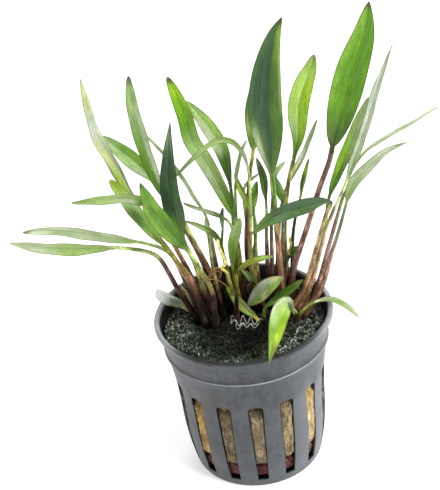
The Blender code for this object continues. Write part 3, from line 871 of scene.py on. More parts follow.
moss = {
    "radius": 24.75,
    "rings": 110,
    "turns": 340,
    "level": 45.5,
    # it rises by this much towards the wall, over these shares of the radius
    "bank": 2.6,
    "bankReach": (0.58, 0.96),
    "skirt": 44.0,
    "lumps": [(6.0, 0.7), (2.2, 0.7), (0.8, 0.3)],
    "sprigs": 30000,
    "sprigLength": (0.5, 1.6),
    "sprigWidth": (0.13, 0.32),
    "sprigLift": 0.08,
    "sink": 0.1,
    "crumbs": 220,
    "crumbRadius": (0.12, 0.4),
    "crumbSides": 6,
    # height and width of a crumb's rings, as shares of its radius
    "crumbRings": [(-0.8, 0.5), (0, 1.0), (0.75, 0.6)],
    # big dark crumbs against the back wall: x, y, radius
    "bigCrumbs": [
        (19.5, 11.5, 1.3), (21.5, 8.0, 1.0), (16.5, 15.5, 1.2), (22.3, 4.6, 0.9), (12.5, 19.5, 1.0),
    ],
    # painted light in patches by the walls: x, y, reach of the patch, strength
    "paintedLight": [(-21, 3, 9, 1.0), (-17, -7, 7, 0.5), (19, -3, 7, 1.3), (16, -11, 6, 0.9), (-3, -18, 8, 0.8)],
    # and painted shade that turns the moss black round the stalks
    "paintedShade": [(-6, -3, 8, 1.0), (5, 0, 8, 0.9), (13, 4, 6, 0.8), (-12, 4, 4, 0.7), (-2, -7, 6, 0.6)],
    "bedTones": [(0.34, screen(8, 10, 7)), (0.5, screen(18, 22, 15)), (0.66, screen(36, 42, 30))],
    "sprigTones": [
        (0.0, screen(12, 15, 10)), (0.3, screen(36, 46, 30)), (0.55, screen(80, 94, 66)),
        (0.8, screen(122, 132, 108)), (1.0, screen(200, 206, 190)),
    ],
    "sprigStain": screen(30, 32, 22),
    "crumbTones": [(0.4, screen(26, 20, 15)), (0.55, screen(70, 54, 38)), (0.65, screen(128, 112, 88))],
    "seed": 5,
}


def mossHeight(x, y):
    reach = math.hypot(x, y) / moss["radius"]
    z = moss["level"] + moss["bank"] * easeStep(reach, *moss["bankReach"])
    for size, height in moss["lumps"]:
        z += wobble(x, y, 7.0 * size, size) * height
    return z


def patchSum(patches, x, y):
    # how strongly a list of round patches shows at a place, from 0 to 1
    share = 0.0
    for middleX, middleY, reach, strength in patches:
        share += strength * math.exp(-((x - middleX) ** 2 + (y - middleY) ** 2) / reach ** 2)
    return min(1.0, share)


def mossAgeAndLight(x, y, draw):
    # from 0, black, to 1, light: a random age, with painted light in patches by the walls and painted shade
    # round the stalks; tufts stand in light clumps with dark gaps between
    clump = 0.3 + 0.7 * easeStep(wobble(x, y, 51, 1.3), -0.35, 0.2)
    paintedLight = max(0.0, patchSum(moss["paintedLight"], x, y) + wobble(x, y, 33, 3.0) * 0.2)
    age = (draw ** 1.5 * 0.85 + paintedLight * (0.38 + 0.45 * draw)) * clump
    return min(1.0, age * (1 - 0.9 * patchSum(moss["paintedShade"], x, y)))


def scatter(rand, reach):
    # a place drawn anywhere on a round bed
    radius = reach * math.sqrt(rand.random())
    angle = rand.uniform(0, 2 * math.pi)
    return radius * math.cos(angle), radius * math.sin(angle)


def makeMossFinish():
    finish = Finish("darkMoss", {"Specular IOR Level": 0.35})
    place = finish.place()
    fine = finish.grain(place, 1.3, 3.0, 0.7)
    tone = finish.ramp(finish.grain(place, 0.14, 3.0, 0.6) * 0.5 + fine * 0.5, moss["bedTones"])
    damp = finish.grain(place, 0.5, 2.0)
    return finish.wear(Base_Color=tone, Roughness=0.5 + damp * 0.4, Normal=finish.bump(fine, 0.3))


def makeSprigFinish():
    finish = Finish("mossSprig", {"Specular IOR Level": 0.4})
    tone = finish.ramp(finish.reading("age"), moss["sprigTones"])
    mottle = finish.grain(finish.place(), 3.0)
    stained = finish.mix(mottle * 0.5, tone, moss["sprigStain"])
    return finish.wear(Base_Color=stained, Roughness=0.45 + mottle * 0.3)


def makeMoss():
    rings, turns = moss["rings"], moss["turns"]
    points = []
    for k in range(1, rings + 1):
        radius = moss["radius"] * k / rings
        for i in range(turns):
            angle = 2 * math.pi * i / turns
            x, y = radius * math.cos(angle), radius * math.sin(angle)
            points.append((x, y, mossHeight(x, y)))
    faces = ringFaces(rings, turns) + fan(len(points), turns)
    points.append((0, 0, mossHeight(0, 0)))
    # the edge goes on down to the top of the wool
    rim = (rings - 1) * turns
    skirt = len(points)
    points += [(x * 0.99, y * 0.99, moss["skirt"]) for x, y, _ in points[rim:rim + turns]]
    faces += [(a, d, c, b) for a, b, c, d in joinRings(rim, skirt, turns)]
    makePiece("moss_bed", points, faces, makeMossFinish())


def makeSprigs():
    # each tuft is one small kite that is lighter towards its tip
    rand = random.Random(moss["seed"])
    points = []
    faces = []
    ages = []
    for n in range(moss["sprigs"]):
        x, y = scatter(rand, moss["radius"] * 0.99)
        foot = Vector((x, y, mossHeight(x, y) - moss["sink"]))
        heading = rand.uniform(0, 2 * math.pi)
        rise = rand.uniform(0.1, 1.2)
        out = math.cos(rise)
        along = Vector((math.cos(heading) * out, math.sin(heading) * out, math.sin(rise)))
        length = rand.uniform(*moss["sprigLength"])
        side = along.cross(Vector((0, 0, 1))).normalized() * rand.uniform(*moss["sprigWidth"])
        lift = side.cross(along).normalized() * moss["sprigLift"]
        if foot.x ** 2 + foot.y ** 2 > (moss["radius"] - 0.9) ** 2:
            # those by the wall lean inwards
            along = (along - foot.normalized() * 0.9).normalized()
        first = len(points)
        middle = foot + along * length * 0.5
        tip = foot + along * length - Vector((0, 0, moss["sink"]))
        points += [foot, middle + side + lift, middle - side + lift, tip]
        faces.append((first, first + 1, first + 3, first + 2))
        age = mossAgeAndLight(x, y, rand.random())
        ages += [age * 0.5, age, age, age * 1.15]
    makePiece("moss_sprigs", points, faces, makeSprigFinish(), values={"age": ages})


def makeCrumbs():
    # little lumps of peat and bark that lie in the moss
    rand = random.Random(moss["seed"] + 1)
    sides = moss["crumbSides"]
    points = []
    faces = []
    lumps = list(moss["bigCrumbs"])
    for n in range(moss["crumbs"]):
        lumps.append((*scatter(rand, moss["radius"] - 0.8), rand.uniform(*moss["crumbRadius"])))
    for x, y, size in lumps:
        middle = Vector((x, y, mossHeight(x, y) + size * 0.4))
        first = len(points)
        for k, (height, share) in enumerate(moss["crumbRings"]):
            for i in range(sides):
                turn = math.pi * (2 * i + k) / sides
                reach = size * share * rand.uniform(0.7, 1.25)
                corner = Vector((reach * math.cos(turn), reach * math.sin(turn), size * height * 0.7))
                points.append(middle + corner)
        faces += ringFaces(3, sides, first)
        faces += [cap(first, sides, True), cap(first + 2 * sides, sides)]
    finish = Finish("peatCrumb", {"Specular IOR Level": 0.3})
    patch = finish.grain(finish.place(), 0.7, 2.0)
    finish.wear(Base_Color=finish.ramp(patch, moss["crumbTones"]), Roughness=0.7 + patch * 0.25)
    makePiece("peat_crumbs", points, faces, finish.material, crease=40)


makeMoss()
makeSprigs()
makeCrumbs()
print("moss made")


# Rootstocks of the four plantlets

crowns = {
    "nodes": ["crown_left", "crown_middle", "crown_right", "crown_front_right"],
    "rings": 26,
    "turns": 72,
    "rise": 1.3,
    "scales": 0.22,
    "lumps": 0.35,
    "share": 0.93,
    "tones": [(0.34, screen(30, 22, 18)), (0.5, screen(62, 46, 34)), (0.66, screen(104, 84, 60))],
}


def crownShape(name):
    # middle x, middle y, radius and foot height of a rootstock's solid, in millimetres
    low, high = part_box(name)
    return (low.x + high.x) / 2 / mm, (low.y + high.y) / 2 / mm, (high.x - low.x) / 2 / mm, low.z / mm


def makeCrownFinish():
    finish = Finish("brownRootstock", {"Specular IOR Level": 0.3})
    place = finish.place()
    fibre = finish.grain(place, 2.6, 3.0, 0.6)
    tone = finish.ramp(finish.grain(place, 0.5, 3.0, 0.6) * 0.6 + fibre * 0.4, crowns["tones"])
    return finish.wear(Base_Color=tone, Roughness=0.6 + fibre * 0.3, Normal=finish.bump(fibre, 0.2))


def makeCrowns():
    finish = makeCrownFinish()
    rings, turns = crowns["rings"], crowns["turns"]
    for name in crowns["nodes"]:
        middleX, middleY, radius, foot = crownShape(name)
        points = []
        for k in range(1, rings + 1):
            share = k / rings
            for i in range(turns):
                angle = 2 * math.pi * i / turns
                reach = radius * crowns["share"] * share
                x = middleX + reach * math.cos(angle)
                y = middleY + reach * math.sin(angle)
                scale = abs(math.sin(share * 17 + wobble(x, y, 3, 2.5) * 2.5)) * crowns["scales"]
                z = foot + crowns["rise"] * math.sqrt(max(0.0, 1 - share ** 2)) + scale
                z += wobble(x, y, 20, 1.8) * crowns["lumps"]
                points.append((x, y, max(foot, z) if k < rings else foot))
        faces = ringFaces(rings, turns) + fan(len(points), turns)
        faces.append(cap(len(points) - turns, turns, True))
        points.append((middleX, middleY, foot + crowns["rise"]))
        makePiece(name.replace("crown", "rootstock"), points, faces, finish, [name])


makeCrowns()
print("rootstocks made")


# Pale loose roots that lie on the moss

roots = {
    "routes": {
        "root_front_left": [(-4.2, 2.8, 46.5), (-2.7, 1.8, 48.5), (-1.8, 1.4, 46.5), (-0.4, 2, 46.8),
            (0.6, 1.2, 45.6), (1.8, 1.7, 46.4), (2.9, 0.4, 45.6), (4.4, 0.8, 46.8)],
        "root_front_right": [(16, -3.8, 45.4), (15.6, -6.2, 46), (13.9, -9.5, 45.3), (12.3, -11.8, 45.8),
            (10.6, -13.2, 45.2)],
    },
    # fine side roots of each: the second row of loops, and the right root's branch and tangle
    "sideRoots": {
        "root_front_left": [
            [(-4.2, 2.8, 46), (-3.6, 5.2, 48), (-2.2, 5, 46), (-1.4, 3.2, 46), (-0.2, 4.6, 48),
                (0.8, 2.6, 46), (2.2, 3.8, 47.5), (3, 1.6, 46), (4.8, 3, 47), (5.8, 3.6, 46)],
            [(-2.7, 1.8, 47), (-2.4, 0.2, 46), (-1, 0.4, 47), (-0.4, 2, 46)],
        ],
        "root_front_right": [
            [(14.8, -8, 46), (15.9, -10, 46.5), (17.1, -12.4, 46)],
            [(10.6, -13.2, 46), (9.6, -14.2, 47), (9.8, -16.4, 47), (11.4, -17, 48), (11.6, -15.4, 47),
                (10.2, -15.6, 47), (9.4, -17.6, 47.5)],
            [(16, -3.8, 46), (17.4, -4.4, 47), (18.6, -3.2, 46)],
        ],
    },
    # little white knots along them: x, y, radius
    "knots": {
        "root_front_left": [(-3.4, 4.6, 0.4)],
        "root_front_right": [(15.7, -5.6, 0.4), (11.2, -13, 0.5), (10.4, -13.4, 0.42)],
    },
    "radius": 0.2,
    "sides": 9,
    "steps": 14,
    "waver": 0.12,
    "clear": 0.45,
    "sideShare": 0.62,
    "sideSteps": 8,
    "sideClear": 0.35,
    # spans along a knot
    "knotSteps": 6,
    "twigs": 5,
    "twigLength": 2.4,
    "twigShare": 0.45,
    "twigSteps": 8,
    "twigClear": 0.25,
    "tones": [(0.35, screen(150, 140, 118)), (0.5, screen(206, 202, 186)), (0.65, screen(236, 235, 226))],
    "seed": 23,
}


def makeRootFinish():
    constants = {"Specular IOR Level": 0.4, "Subsurface Weight": 0.15, "Subsurface Scale": 0.001}
    finish = Finish("paleRoot", constants)
    place = finish.place()
    fine = finish.grain(place, 4.0, 2.0)
    tone = finish.ramp(finish.grain(place, 0.7, 3.0, 0.6), roots["tones"])
    return finish.wear(Base_Color=tone, Roughness=0.4 + fine * 0.3, Normal=finish.bump(fine, 0.06))


def overMoss(place, clear):
    # the least height at which a root runs over the moss
    return mossHeight(place.x, place.y) + clear


def addTwig(strands, rand, start):
    count = roots["twigSteps"]
    heading = rand.uniform(0, 2 * math.pi)
    bend = rand.uniform(-1.2, 1.2)
    twig = [start]
    for step in range(count):
        heading += bend / count
        move = Vector((math.cos(heading), math.sin(heading), 0)) * roots["twigLength"] / count
        place = twig[-1] + move
        place.z = max(overMoss(place, roots["twigClear"]), place.z - roots["twigClear"])
        twig.append(place)
    radii = [roots["radius"] * roots["twigShare"] * (1 - step / 11) for step in range(count + 1)]
    strands.addThread(twig, radii, sides=5)


def addKnot(strands, x, y, size):
    # a short thread that is thick in its middle
    count = roots["knotSteps"]
    z = mossHeight(x, y) + roots["clear"]
    knot = []
    radii = []
    for k in range(count + 1):
        share = 2 * k / count - 1
        knot.append(Vector((x + share * size, y, z)))
        radii.append(size * math.sqrt(max(0.05, 1 - share ** 2)))
    strands.addThread(knot, radii, sides=8)


def makeRoots():
    rand = random.Random(roots["seed"])
    finish = makeRootFinish()
    for name, points in roots["routes"].items():
        route = smoothRoute(points, roots["steps"])
        for k, place in enumerate(route):
            place.z = max(place.z, overMoss(place, roots["clear"]))
            place.x += wobble(k * 0.3, 0, 0, 1.0) * roots["waver"]
            place.y += wobble(0, k * 0.3, 0, 1.0) * roots["waver"]
        strands = Strands()
        last = len(route) - 1
        radii = [roots["radius"] * (0.85 + 0.3 * wobble(k, 0, 0, 5.0)) for k in range(last + 1)]
        radii[0] *= 0.5
        radii[last] *= 0.35
        strands.addThread(route, radii, sides=roots["sides"])
        for corners in roots["sideRoots"][name]:
            side = smoothRoute(corners, roots["sideSteps"])
            for place in side:
                place.z = max(overMoss(place, roots["sideClear"]), place.z)
            strands.addThread(side, [roots["radius"] * roots["sideShare"]] * len(side), sides=6)
        for knot in roots["knots"][name]:
            addKnot(strands, *knot)
        for n in range(roots["twigs"]):
            addTwig(strands, rand, route[rand.randrange(4, last - 4)])
        piece = name.replace("root_", "pale_root_")
        makePiece(piece, strands.points, strands.faces, finish, [name])


makeRoots()
print("roots made")


# Old yellow stalk and brown aerial roots that curl between the stalks

curlStyle = {"steps": 8, "sides": 9, "endShare": 0.4, "stain": screen(120, 84, 34)}

curls = {
    # route, most radius, tone at the foot and tone at the end
    "yellow_stalk": ([(1.2, 8, 46), (-1, 6.5, 51), (-2.5, 5, 55.5), (-2.5, 2, 60.5), (-3, -1.5, 65.5),
        (-3.3, -3.8, 69.5), (-4.6, -4.6, 71.8), (-3.4, -4.8, 73), (-3.6, -4.4, 75), (-4.6, -4, 78.5),
        (-4.8, -3.6, 81)], 0.5, (140, 136, 60), (236, 226, 136)),
    "brown_root_low": ([(-9, 1.2, 61.5), (-8, 0, 63.6), (-6.2, -0.8, 65.5), (-5, -1.6, 68), (-6, -2.4, 69.6),
        (-8, -2.6, 68.8), (-9.2, -1.6, 66.6), (-7.2, -1.8, 66.4), (-5.2, -1.2, 64.6), (-3, 1, 60.5)],
        0.17, (124, 88, 50), (172, 130, 72)),
    "brown_root_high": ([(-9.6, 0, 64.5), (-8.4, -1.4, 67), (-7.8, -2.4, 70), (-6, -3.6, 71.4),
        (-4.6, -4.4, 71.6)], 0.17, (132, 96, 54), (190, 148, 80)),
    # its pale end tone is painted light that makes up for the shade it lies in
    "red_root": ([(3.5, 10, 46), (3, 10, 50), (2.5, 9.5, 53.5), (2.5, 9, 55.5), (3, 8.5, 56.5), (4, 8.5, 57),
        (4.5, 9, 56), (3.5, 9, 55.5), (3, 9.5, 54)], 0.28, (150, 96, 80), (236, 196, 180)),
    # its foot is in the stalk of leaf_right_11
    "yellow_scrap": ([(16.5, 12, 63), (16.5, 12.3, 64.3), (17, 12.2, 65.7), (17.3, 12, 67.2),
        (17, 12.2, 68.4), (17.5, 12.6, 69.2)], 0.42, (150, 158, 46), (208, 212, 90)),
}


def makeCurlFinish():
    constants = {"Specular IOR Level": 0.3, "Subsurface Weight": 0.2, "Subsurface Scale": 0.001}
    finish = Finish("driedStalk", constants)
    patch = finish.grain(finish.place(), 0.9, 3.0, 0.6)
    stain = finish.step(patch, 0.45, 0.65) * 0.5
    mottled = finish.mix(stain, finish.toneReading("tone"), curlStyle["stain"])
    return finish.wear(Base_Color=mottled, Roughness=0.5 + patch * 0.3, Normal=finish.bump(patch, 0.15))


def makeCurls():
    finish = makeCurlFinish()
    sides = curlStyle["sides"]
    for index, (name, (corners, radius, first, second)) in enumerate(curls.items()):
        route = smoothRoute(corners, curlStyle["steps"])
        last = len(route) - 1
        radii = [radius * (0.9 + 0.35 * wobble(k, index, 0, 4.0)) for k in range(last + 1)]
        radii[last] *= curlStyle["endShare"]
        strands = Strands()
        strands.addThread(route, radii, sides=sides)
        colours = []
        for k in range(last + 1):
            colours += [blendTones(screen(*first), screen(*second), k / last)] * sides
        makePiece(name, strands.points, strands.faces, finish, tones={"tone": colours})


makeCurls()
print("curls made")


# Leaves

# Outlines of a blade: where it is widest as a share of its length, how fully it widens up to there,
# and how bluntly it closes after that (a smaller power is a fuller outline)
bladeShapes = {
    "lance": (0.5, 1.0, 0.63),
    "tall": (0.45, 1.2, 0.75),
    "strap": (0.45, 0.65, 0.5),
    "blunt": (0.6, 0.8, 0.45),
    "broad": (0.45, 0.5, 0.7),
    "spoon": (0.55, 1.0, 0.58),
    "spear": (0.33, 0.85, 1.0),
    "paddle": (0.6, 0.32, 0.45),
    "shield": (0.4, 0.8, 0.85),
}

# Each leaf: its foot's x and y, points from there to the tip, the number of the point where the blade
# starts, the blade's width, its roll in degrees, and its outline
leafRoutes = {
    "leaf_left_01": ([(-14, 6.5), (-19, 5, 60.5), (-23, 1.5, 74.5), (-25.5, 0, 77.5),
        (-33, -2.5, 81.5), (-44.5, -5, 84.5), (-54, -7, 87.5), (-63, -8.5, 91)], 4, 5.2, 45, "lance"),
    "leaf_left_02": ([(-12.5, 8.5), (-16, 7.5, 59.5), (-19.5, 6.5, 72), (-23, 6, 75.5),
        (-27.5, 6, 77.5), (-39.5, 5.5, 82), (-50.5, 4.5, 86), (-57, 4, 87), (-61.5, 4, 87)],
        4, 4.4, 45, "strap"),
    "leaf_left_03": ([(-10.5, 11), (-15.5, 9, 65), (-18.5, 2, 80), (-20.5, -6, 93), (-23, -11, 100),
        (-27.5, -13, 103), (-35, -15, 104.5), (-42.5, -16, 105)], 3, 4, 50, "strap"),
    "leaf_left_04": ([(-10, 5.5), (-17, 4, 68.5), (-21, 3.5, 78), (-24.5, 3, 86.5), (-28, 3, 96),
        (-31.5, 3.5, 107), (-34.5, 4.5, 115.5), (-35.5, 5.5, 123), (-36.5, 6, 131.5)],
        3, 5.6, 50, "lance"),
    "leaf_left_05": ([(-8.4, 11.3), (-10, 12.5, 62), (-14, 14, 74.5), (-17.5, 15.5, 83),
        (-21, 17, 90.5), (-25.5, 18.5, 97), (-30.5, 20.5, 102), (-35, 22, 106.5)], 4, 5.4, 20, "lance"),
    "leaf_left_06": ([(-12, 4), (-14.5, 2, 65.5), (-17.5, 0.5, 72.5), (-20, -1, 78.5), (-23, -4, 86.5),
        (-26, -6.5, 94.5), (-28.5, -9, 102), (-31.5, -10.5, 108)], 3, 5.2, 35, "blunt"),
    "leaf_left_07": ([(-9, 2.5), (-8.5, 1, 60), (-11, -2, 70.5), (-14, -6, 80.5), (-17.5, -9, 88),
        (-21, -13, 98), (-22, -16, 104), (-23, -18, 109.5)], 3, 5.5, 5, "broad"),
    "leaf_left_08": ([(-8, 5.5), (-10.5, 4, 57), (-12.5, 1, 71), (-14.5, -2, 81), (-15.5, -4, 90),
        (-16, -6, 99.5), (-15, -7.5, 110.5), (-13, -8, 122)], 3, 5.9, 15, "spear"),
    "leaf_left_09": ([(-7, 9), (-8, 9, 60), (-11.5, 8.5, 72.5), (-15, 8, 84), (-19.5, 8, 94),
        (-21, 8, 100.5), (-22.5, 8.5, 110), (-23.5, 9, 119), (-23.5, 10, 129)], 3, 4.8, 30, "blunt"),
    "leaf_left_10": ([(-5.5, 10.5), (-6.5, 10.5, 65), (-7.5, 10, 81.5), (-10, 11, 88), (-13, 12.5, 95),
        (-17.5, 14, 102.5), (-22, 15, 108.5)], 2, 3.1, 68, "strap"),
    "leaf_left_11": ([(-14, 9.5), (-17.5, 10, 49.5), (-20, 9.5, 52.5), (-22.5, 8, 55.5),
        (-26, 8.5, 58.5)], 1, 5.7, 40, "blunt"),
    "leaf_left_12": ([(-14.5, 12.2), (-15, 13, 46), (-16.5, 13.5, 49.5), (-17.5, 13.5, 53.5),
        (-18.5, 13, 57)], 1, 2.4, 20, "lance"),
    "leaf_left_13": ([(-6, 7), (-7.5, 6.5, 66.5), (-7.5, 6, 72), (-7.5, 5, 77), (-7.5, 4, 84.5)],
        3, 1.6, 40, "strap"),
    "leaf_middle_01": ([(1, 13), (1, 12, 54.5), (1, 11.5, 71), (0.5, 11, 80.5), (-2.5, 10.5, 91.5),
        (-5.5, 10, 100), (-8.5, 10, 107), (-9.5, 10.5, 114.5), (-11.5, 11, 122), (-13, 12, 126.5)],
        3, 4.9, 10, "paddle"),
    "leaf_middle_02": ([(2.5, 15.5), (0, 16.5, 51.5), (0.5, 18, 73), (1, 20, 84), (0.5, 22, 92.5),
        (-0.5, 23.5, 97.5), (-3.5, 25, 104), (-9, 27.5, 112)], 3, 4.9, 15, "spoon"),
    "leaf_middle_03": ([(3.6, 9.4), (4.5, 4.5, 71), (6, 2.5, 87.5), (6.5, 1, 99), (5.5, 0, 106),
        (2.5, -1, 110.5), (-1.5, -2, 111.5), (-6.5, -3.5, 109.5), (-14.5, -6, 103.5)],
        3, 2.1, 45, "strap"),
    "leaf_middle_04": ([(4.5, 15), (3.5, 14.5, 63.5), (5.5, 15, 81), (7.5, 15.5, 92.5), (9, 16, 98.5),
        (10, 17, 108), (11.5, 18, 115), (14.5, 19, 124.5)], 4, 5, 20, "broad"),
    "leaf_middle_05": ([(0.2, 8.2), (-1, 5, 59), (-1.5, 3.5, 65.5), (-1, 3, 71), (0, 1.5, 77),
        (1.5, 0, 82), (2.5, -1.5, 86)], 2, 3.3, 10, "blunt"),
    "leaf_middle_06": ([(6.4, 9.2), (5, 7.5, 65), (6.5, 6.5, 73.5), (7, 6, 80.5), (5.5, 5, 87),
        (4, 4, 92), (2.5, 2.5, 98.5)], 3, 2.4, 40, "strap"),
    "leaf_middle_07": ([(-1, 11.5), (-0.5, 13, 61.5), (1.5, 14, 78.5), (2.5, 14.5, 88.5), (4, 15, 94),
        (5.5, 15.5, 98.5), (7.5, 16, 102)], 3, 2.9, 65, "strap"),
    "leaf_middle_08": ([(5, 17), (4, 18, 59.5), (4.5, 19, 73.5), (4.5, 19, 81.5), (5.5, 18.5, 85.5),
        (7.5, 17.5, 88), (10, 16, 90.5)], 3, 1.7, 55, "strap"),
    "leaf_middle_09": ([(8.5, 14), (9, 14, 52), (10, 13, 69), (11, 12, 82.5), (11, 11.5, 87),
        (11, 11, 92), (9.5, 10, 99)], 3, 2.6, 25, "lance"),
    "leaf_middle_10": ([(6.5, 11.5), (6, 10.5, 60), (6.5, 10.5, 71), (7, 11, 80.5), (7.5, 11.5, 85),
        (9, 11.5, 90.5)], 3, 2.7, 20, "lance"),
    "leaf_middle_11": ([(1.5, 11), (0, 8, 62.5), (0.5, 6, 72.5), (-0.5, 3.5, 81.5), (-3, 1, 86),
        (-7, -1, 89.5), (-10.5, -3, 92.5), (-13, -5, 95)], 3, 2.2, 55, "strap"),
    "leaf_middle_12": ([(-1.5, 9), (-3, 6, 62.5), (-3.5, 4, 71), (-4.5, 2, 77.5), (-6, 1, 81),
        (-8.5, 0, 83.5), (-10.5, -1, 85.5), (-13.5, -2, 87.5)], 2, 2, 30, "strap"),
    "leaf_middle_13": ([(-3.5, 9.5), (-3.5, 8.5, 63.5), (-4, 8, 71), (-3, 7, 78), (-2.5, 6.5, 83),
        (-2, 6, 86)], 3, 1.9, 50, "strap"),
    "leaf_middle_14": ([(-2.4, 3.6), (-1, 1.5, 60.5), (0, -1, 67.5), (2.5, -3.5, 71), (6, -6.5, 74),
        (10.5, -9.5, 76.5)], 2, 2.8, 45, "strap"),
    "leaf_middle_15": ([(4.5, 3.5), (4, 4, 46.5), (1.5, 4.5, 49.5), (-1, 4.5, 53.5), (-4, 4.5, 59.5)],
        1, 3.2, 20, "strap"),
    "leaf_right_01": ([(13, 7.5), (13, 5, 65.5), (13, 2.5, 80), (13, -0.5, 95.5), (13, -2, 107),
        (13, -3.5, 120.5), (14.5, -4.5, 131.5), (17, -5, 140.5), (19.5, -5, 145.5)], 3, 9.4, 8, "tall"),
    "leaf_right_02": ([(13.5, 15), (15, 16, 51.5), (16, 18, 69), (18.5, 19.5, 83.5), (21, 20.5, 91.5),
        (23, 21.5, 98), (24, 22.5, 107.5), (26.5, 23.5, 114.5), (28.5, 24, 118.5), (30, 24, 123)],
        4, 6.5, 12, "spoon"),
    "leaf_right_03": ([(11.5, 17), (13, 19, 57), (15, 21, 71), (17.5, 23, 79.5), (20.5, 25, 83.5),
        (24.5, 27, 89), (27.5, 29, 94), (30, 30, 99.5)], 3, 2.9, 55, "strap"),
    "leaf_right_04": ([(15, 12), (17, 13.5, 56.5), (18, 14, 67), (19.5, 14, 75), (21.5, 13.5, 82),
        (23, 13, 88), (25, 12, 95.5)], 4, 2, 50, "strap"),
    "leaf_right_05": ([(10, 12.5), (13.5, 12, 56.5), (15, 11.5, 71), (16, 11, 81.5),
        (15.5, 10.5, 86.5), (14.5, 10, 92)], 3, 2.8, 30, "lance"),
    "leaf_right_06": ([(8.5, 9.5), (10.5, 9.5, 60), (12, 10, 77.5), (13.5, 11.5, 87), (14.5, 12.5, 91),
        (18, 15, 94)], 3, 2.1, 40, "strap"),
    "leaf_right_07": ([(14.3, 4.6), (20, 3, 57.5), (24.5, 1.5, 72), (27.5, 0, 82.5), (29, -3, 88),
        (26, -6, 90.5), (21, -10, 92), (15, -14, 93), (10, -16.5, 92.5), (5, -18, 89.5)],
        4, 4.8, 20, "lance"),
    "leaf_right_08": ([(3.2, 7.2), (1.5, 6, 49.5), (5, 3.5, 55), (8.5, 0.5, 60), (13, -1.5, 64)],
        1, 5.4, 15, "spoon"),
    "leaf_right_09": ([(7.5, 7.5), (5.5, 6, 55), (4.5, 4.5, 60), (3, 2.5, 64), (1, 0.5, 67.5)],
        1, 2.8, 35, "lance"),
    "leaf_right_10": ([(6, 4.5), (7, 3.5, 50.5), (10.5, 2.5, 53.5), (14.5, 0.5, 57.5), (19, -2, 62.5)],
        1, 3, 20, "strap"),
    "leaf_right_11": ([(12.5, 12), (15, 12, 58), (16.5, 12, 63), (20.5, 10, 66.5)], 2, 2.8, 40, "strap"),
    "leaf_right_12": ([(14, 1), (16, 1, 47.5), (15, -1, 52), (13.5, -4.5, 56.5), (11.5, -9, 57.5),
        (10, -14, 58), (8, -22, 57), (6.5, -27, 55.5), (5.5, -30, 54)], 2, 5.8, 10, "shield"),
    "leaf_far_right_01": ([(15.5, 9), (17, 8, 59.5), (22, 7.5, 74), (27, 7, 88), (30.5, 6.5, 97),
        (31.5, 6, 101.5), (35, 6, 113), (38.5, 6, 124), (42, 6, 133.5), (44, 6, 143)],
        5, 9.1, 8, "broad"),
    "leaf_far_right_02": ([(16.5, 4), (22, 4, 57.5), (26, 3.5, 71.5), (28, 3, 81), (29, 2, 87),
        (32, 1.5, 94.5), (35.5, 1, 102.5), (39, 1, 111), (42, 1, 117.5)], 4, 3.7, 30, "strap"),
    "leaf_far_right_03": ([(18.5, 5.5), (21, 6, 53.5), (26, 9, 66), (30.5, 11, 76.5), (35, 13, 84),
        (39, 15, 92.5), (43, 16.5, 102), (47, 18, 112.5), (49.5, 18.5, 118.5), (52.5, 19, 126)],
        4, 3.8, 40, "spear"),
    "leaf_far_right_04": ([(20.2, 8), (24, 5, 55.5), (29.5, 11, 67.5), (35, 17, 79), (38.5, 19, 86.5),
        (42.5, 21.5, 90), (50, 26, 92), (58.5, 30.5, 93.5), (69, 36, 96)], 4, 3.1, 72, "strap"),
    "leaf_far_right_05": ([(17.5, 1), (24.5, 0, 57.5), (28, -1.5, 69.5), (31, -3, 79.5),
        (33, -4.5, 87.5), (35, -6, 94.5), (39.5, -8, 100.5), (44.5, -10.5, 106), (51, -12, 109)],
        4, 3.2, 15, "spear"),
    "leaf_far_right_06": ([(15.5, -0.5), (18, -1.5, 51), (22, -2, 54), (26.5, -3, 55),
        (30.5, -5, 53.5), (34.5, -7, 50)], 2, 2.3, 40, "strap"),
    "leaf_far_right_07": ([(18.5, -2.5), (19.2, -2.6, 46.6), (20.5, -3, 48)], 1, 1.3, 20, "strap"),
}

tones = {
    "peat": screen(14, 12, 9), "umber": screen(44, 20, 17), "cocoa": screen(78, 52, 42),
    "wine": screen(66, 44, 50), "plum": screen(112, 78, 76), "rust": screen(156, 114, 88),
    "mauve": screen(146, 114, 110),
    "tan": screen(190, 160, 126), "khaki": screen(154, 146, 92), "olive": screen(112, 120, 32),
    "brass": screen(168, 170, 62), "gold": screen(214, 206, 70), "pine": screen(38, 70, 26),
    "teal": screen(40, 72, 44), "ivy": screen(58, 90, 46), "holly": screen(68, 106, 16),
    "slate": screen(98, 122, 86), "moss": screen(80, 112, 42), "fern": screen(92, 132, 44),
    "grass": screen(96, 146, 22), "leek": screen(120, 160, 54), "apple": screen(136, 178, 20),
    "lime": screen(168, 200, 56), "spring": screen(174, 204, 104), "sage": screen(144, 168, 96),
    "willow": screen(172, 184, 146), "celery": screen(164, 190, 124), "dew": screen(202, 214, 178),
    "straw": screen(222, 228, 160), "silver": screen(220, 226, 206), "mist": screen(240, 242, 236),
}

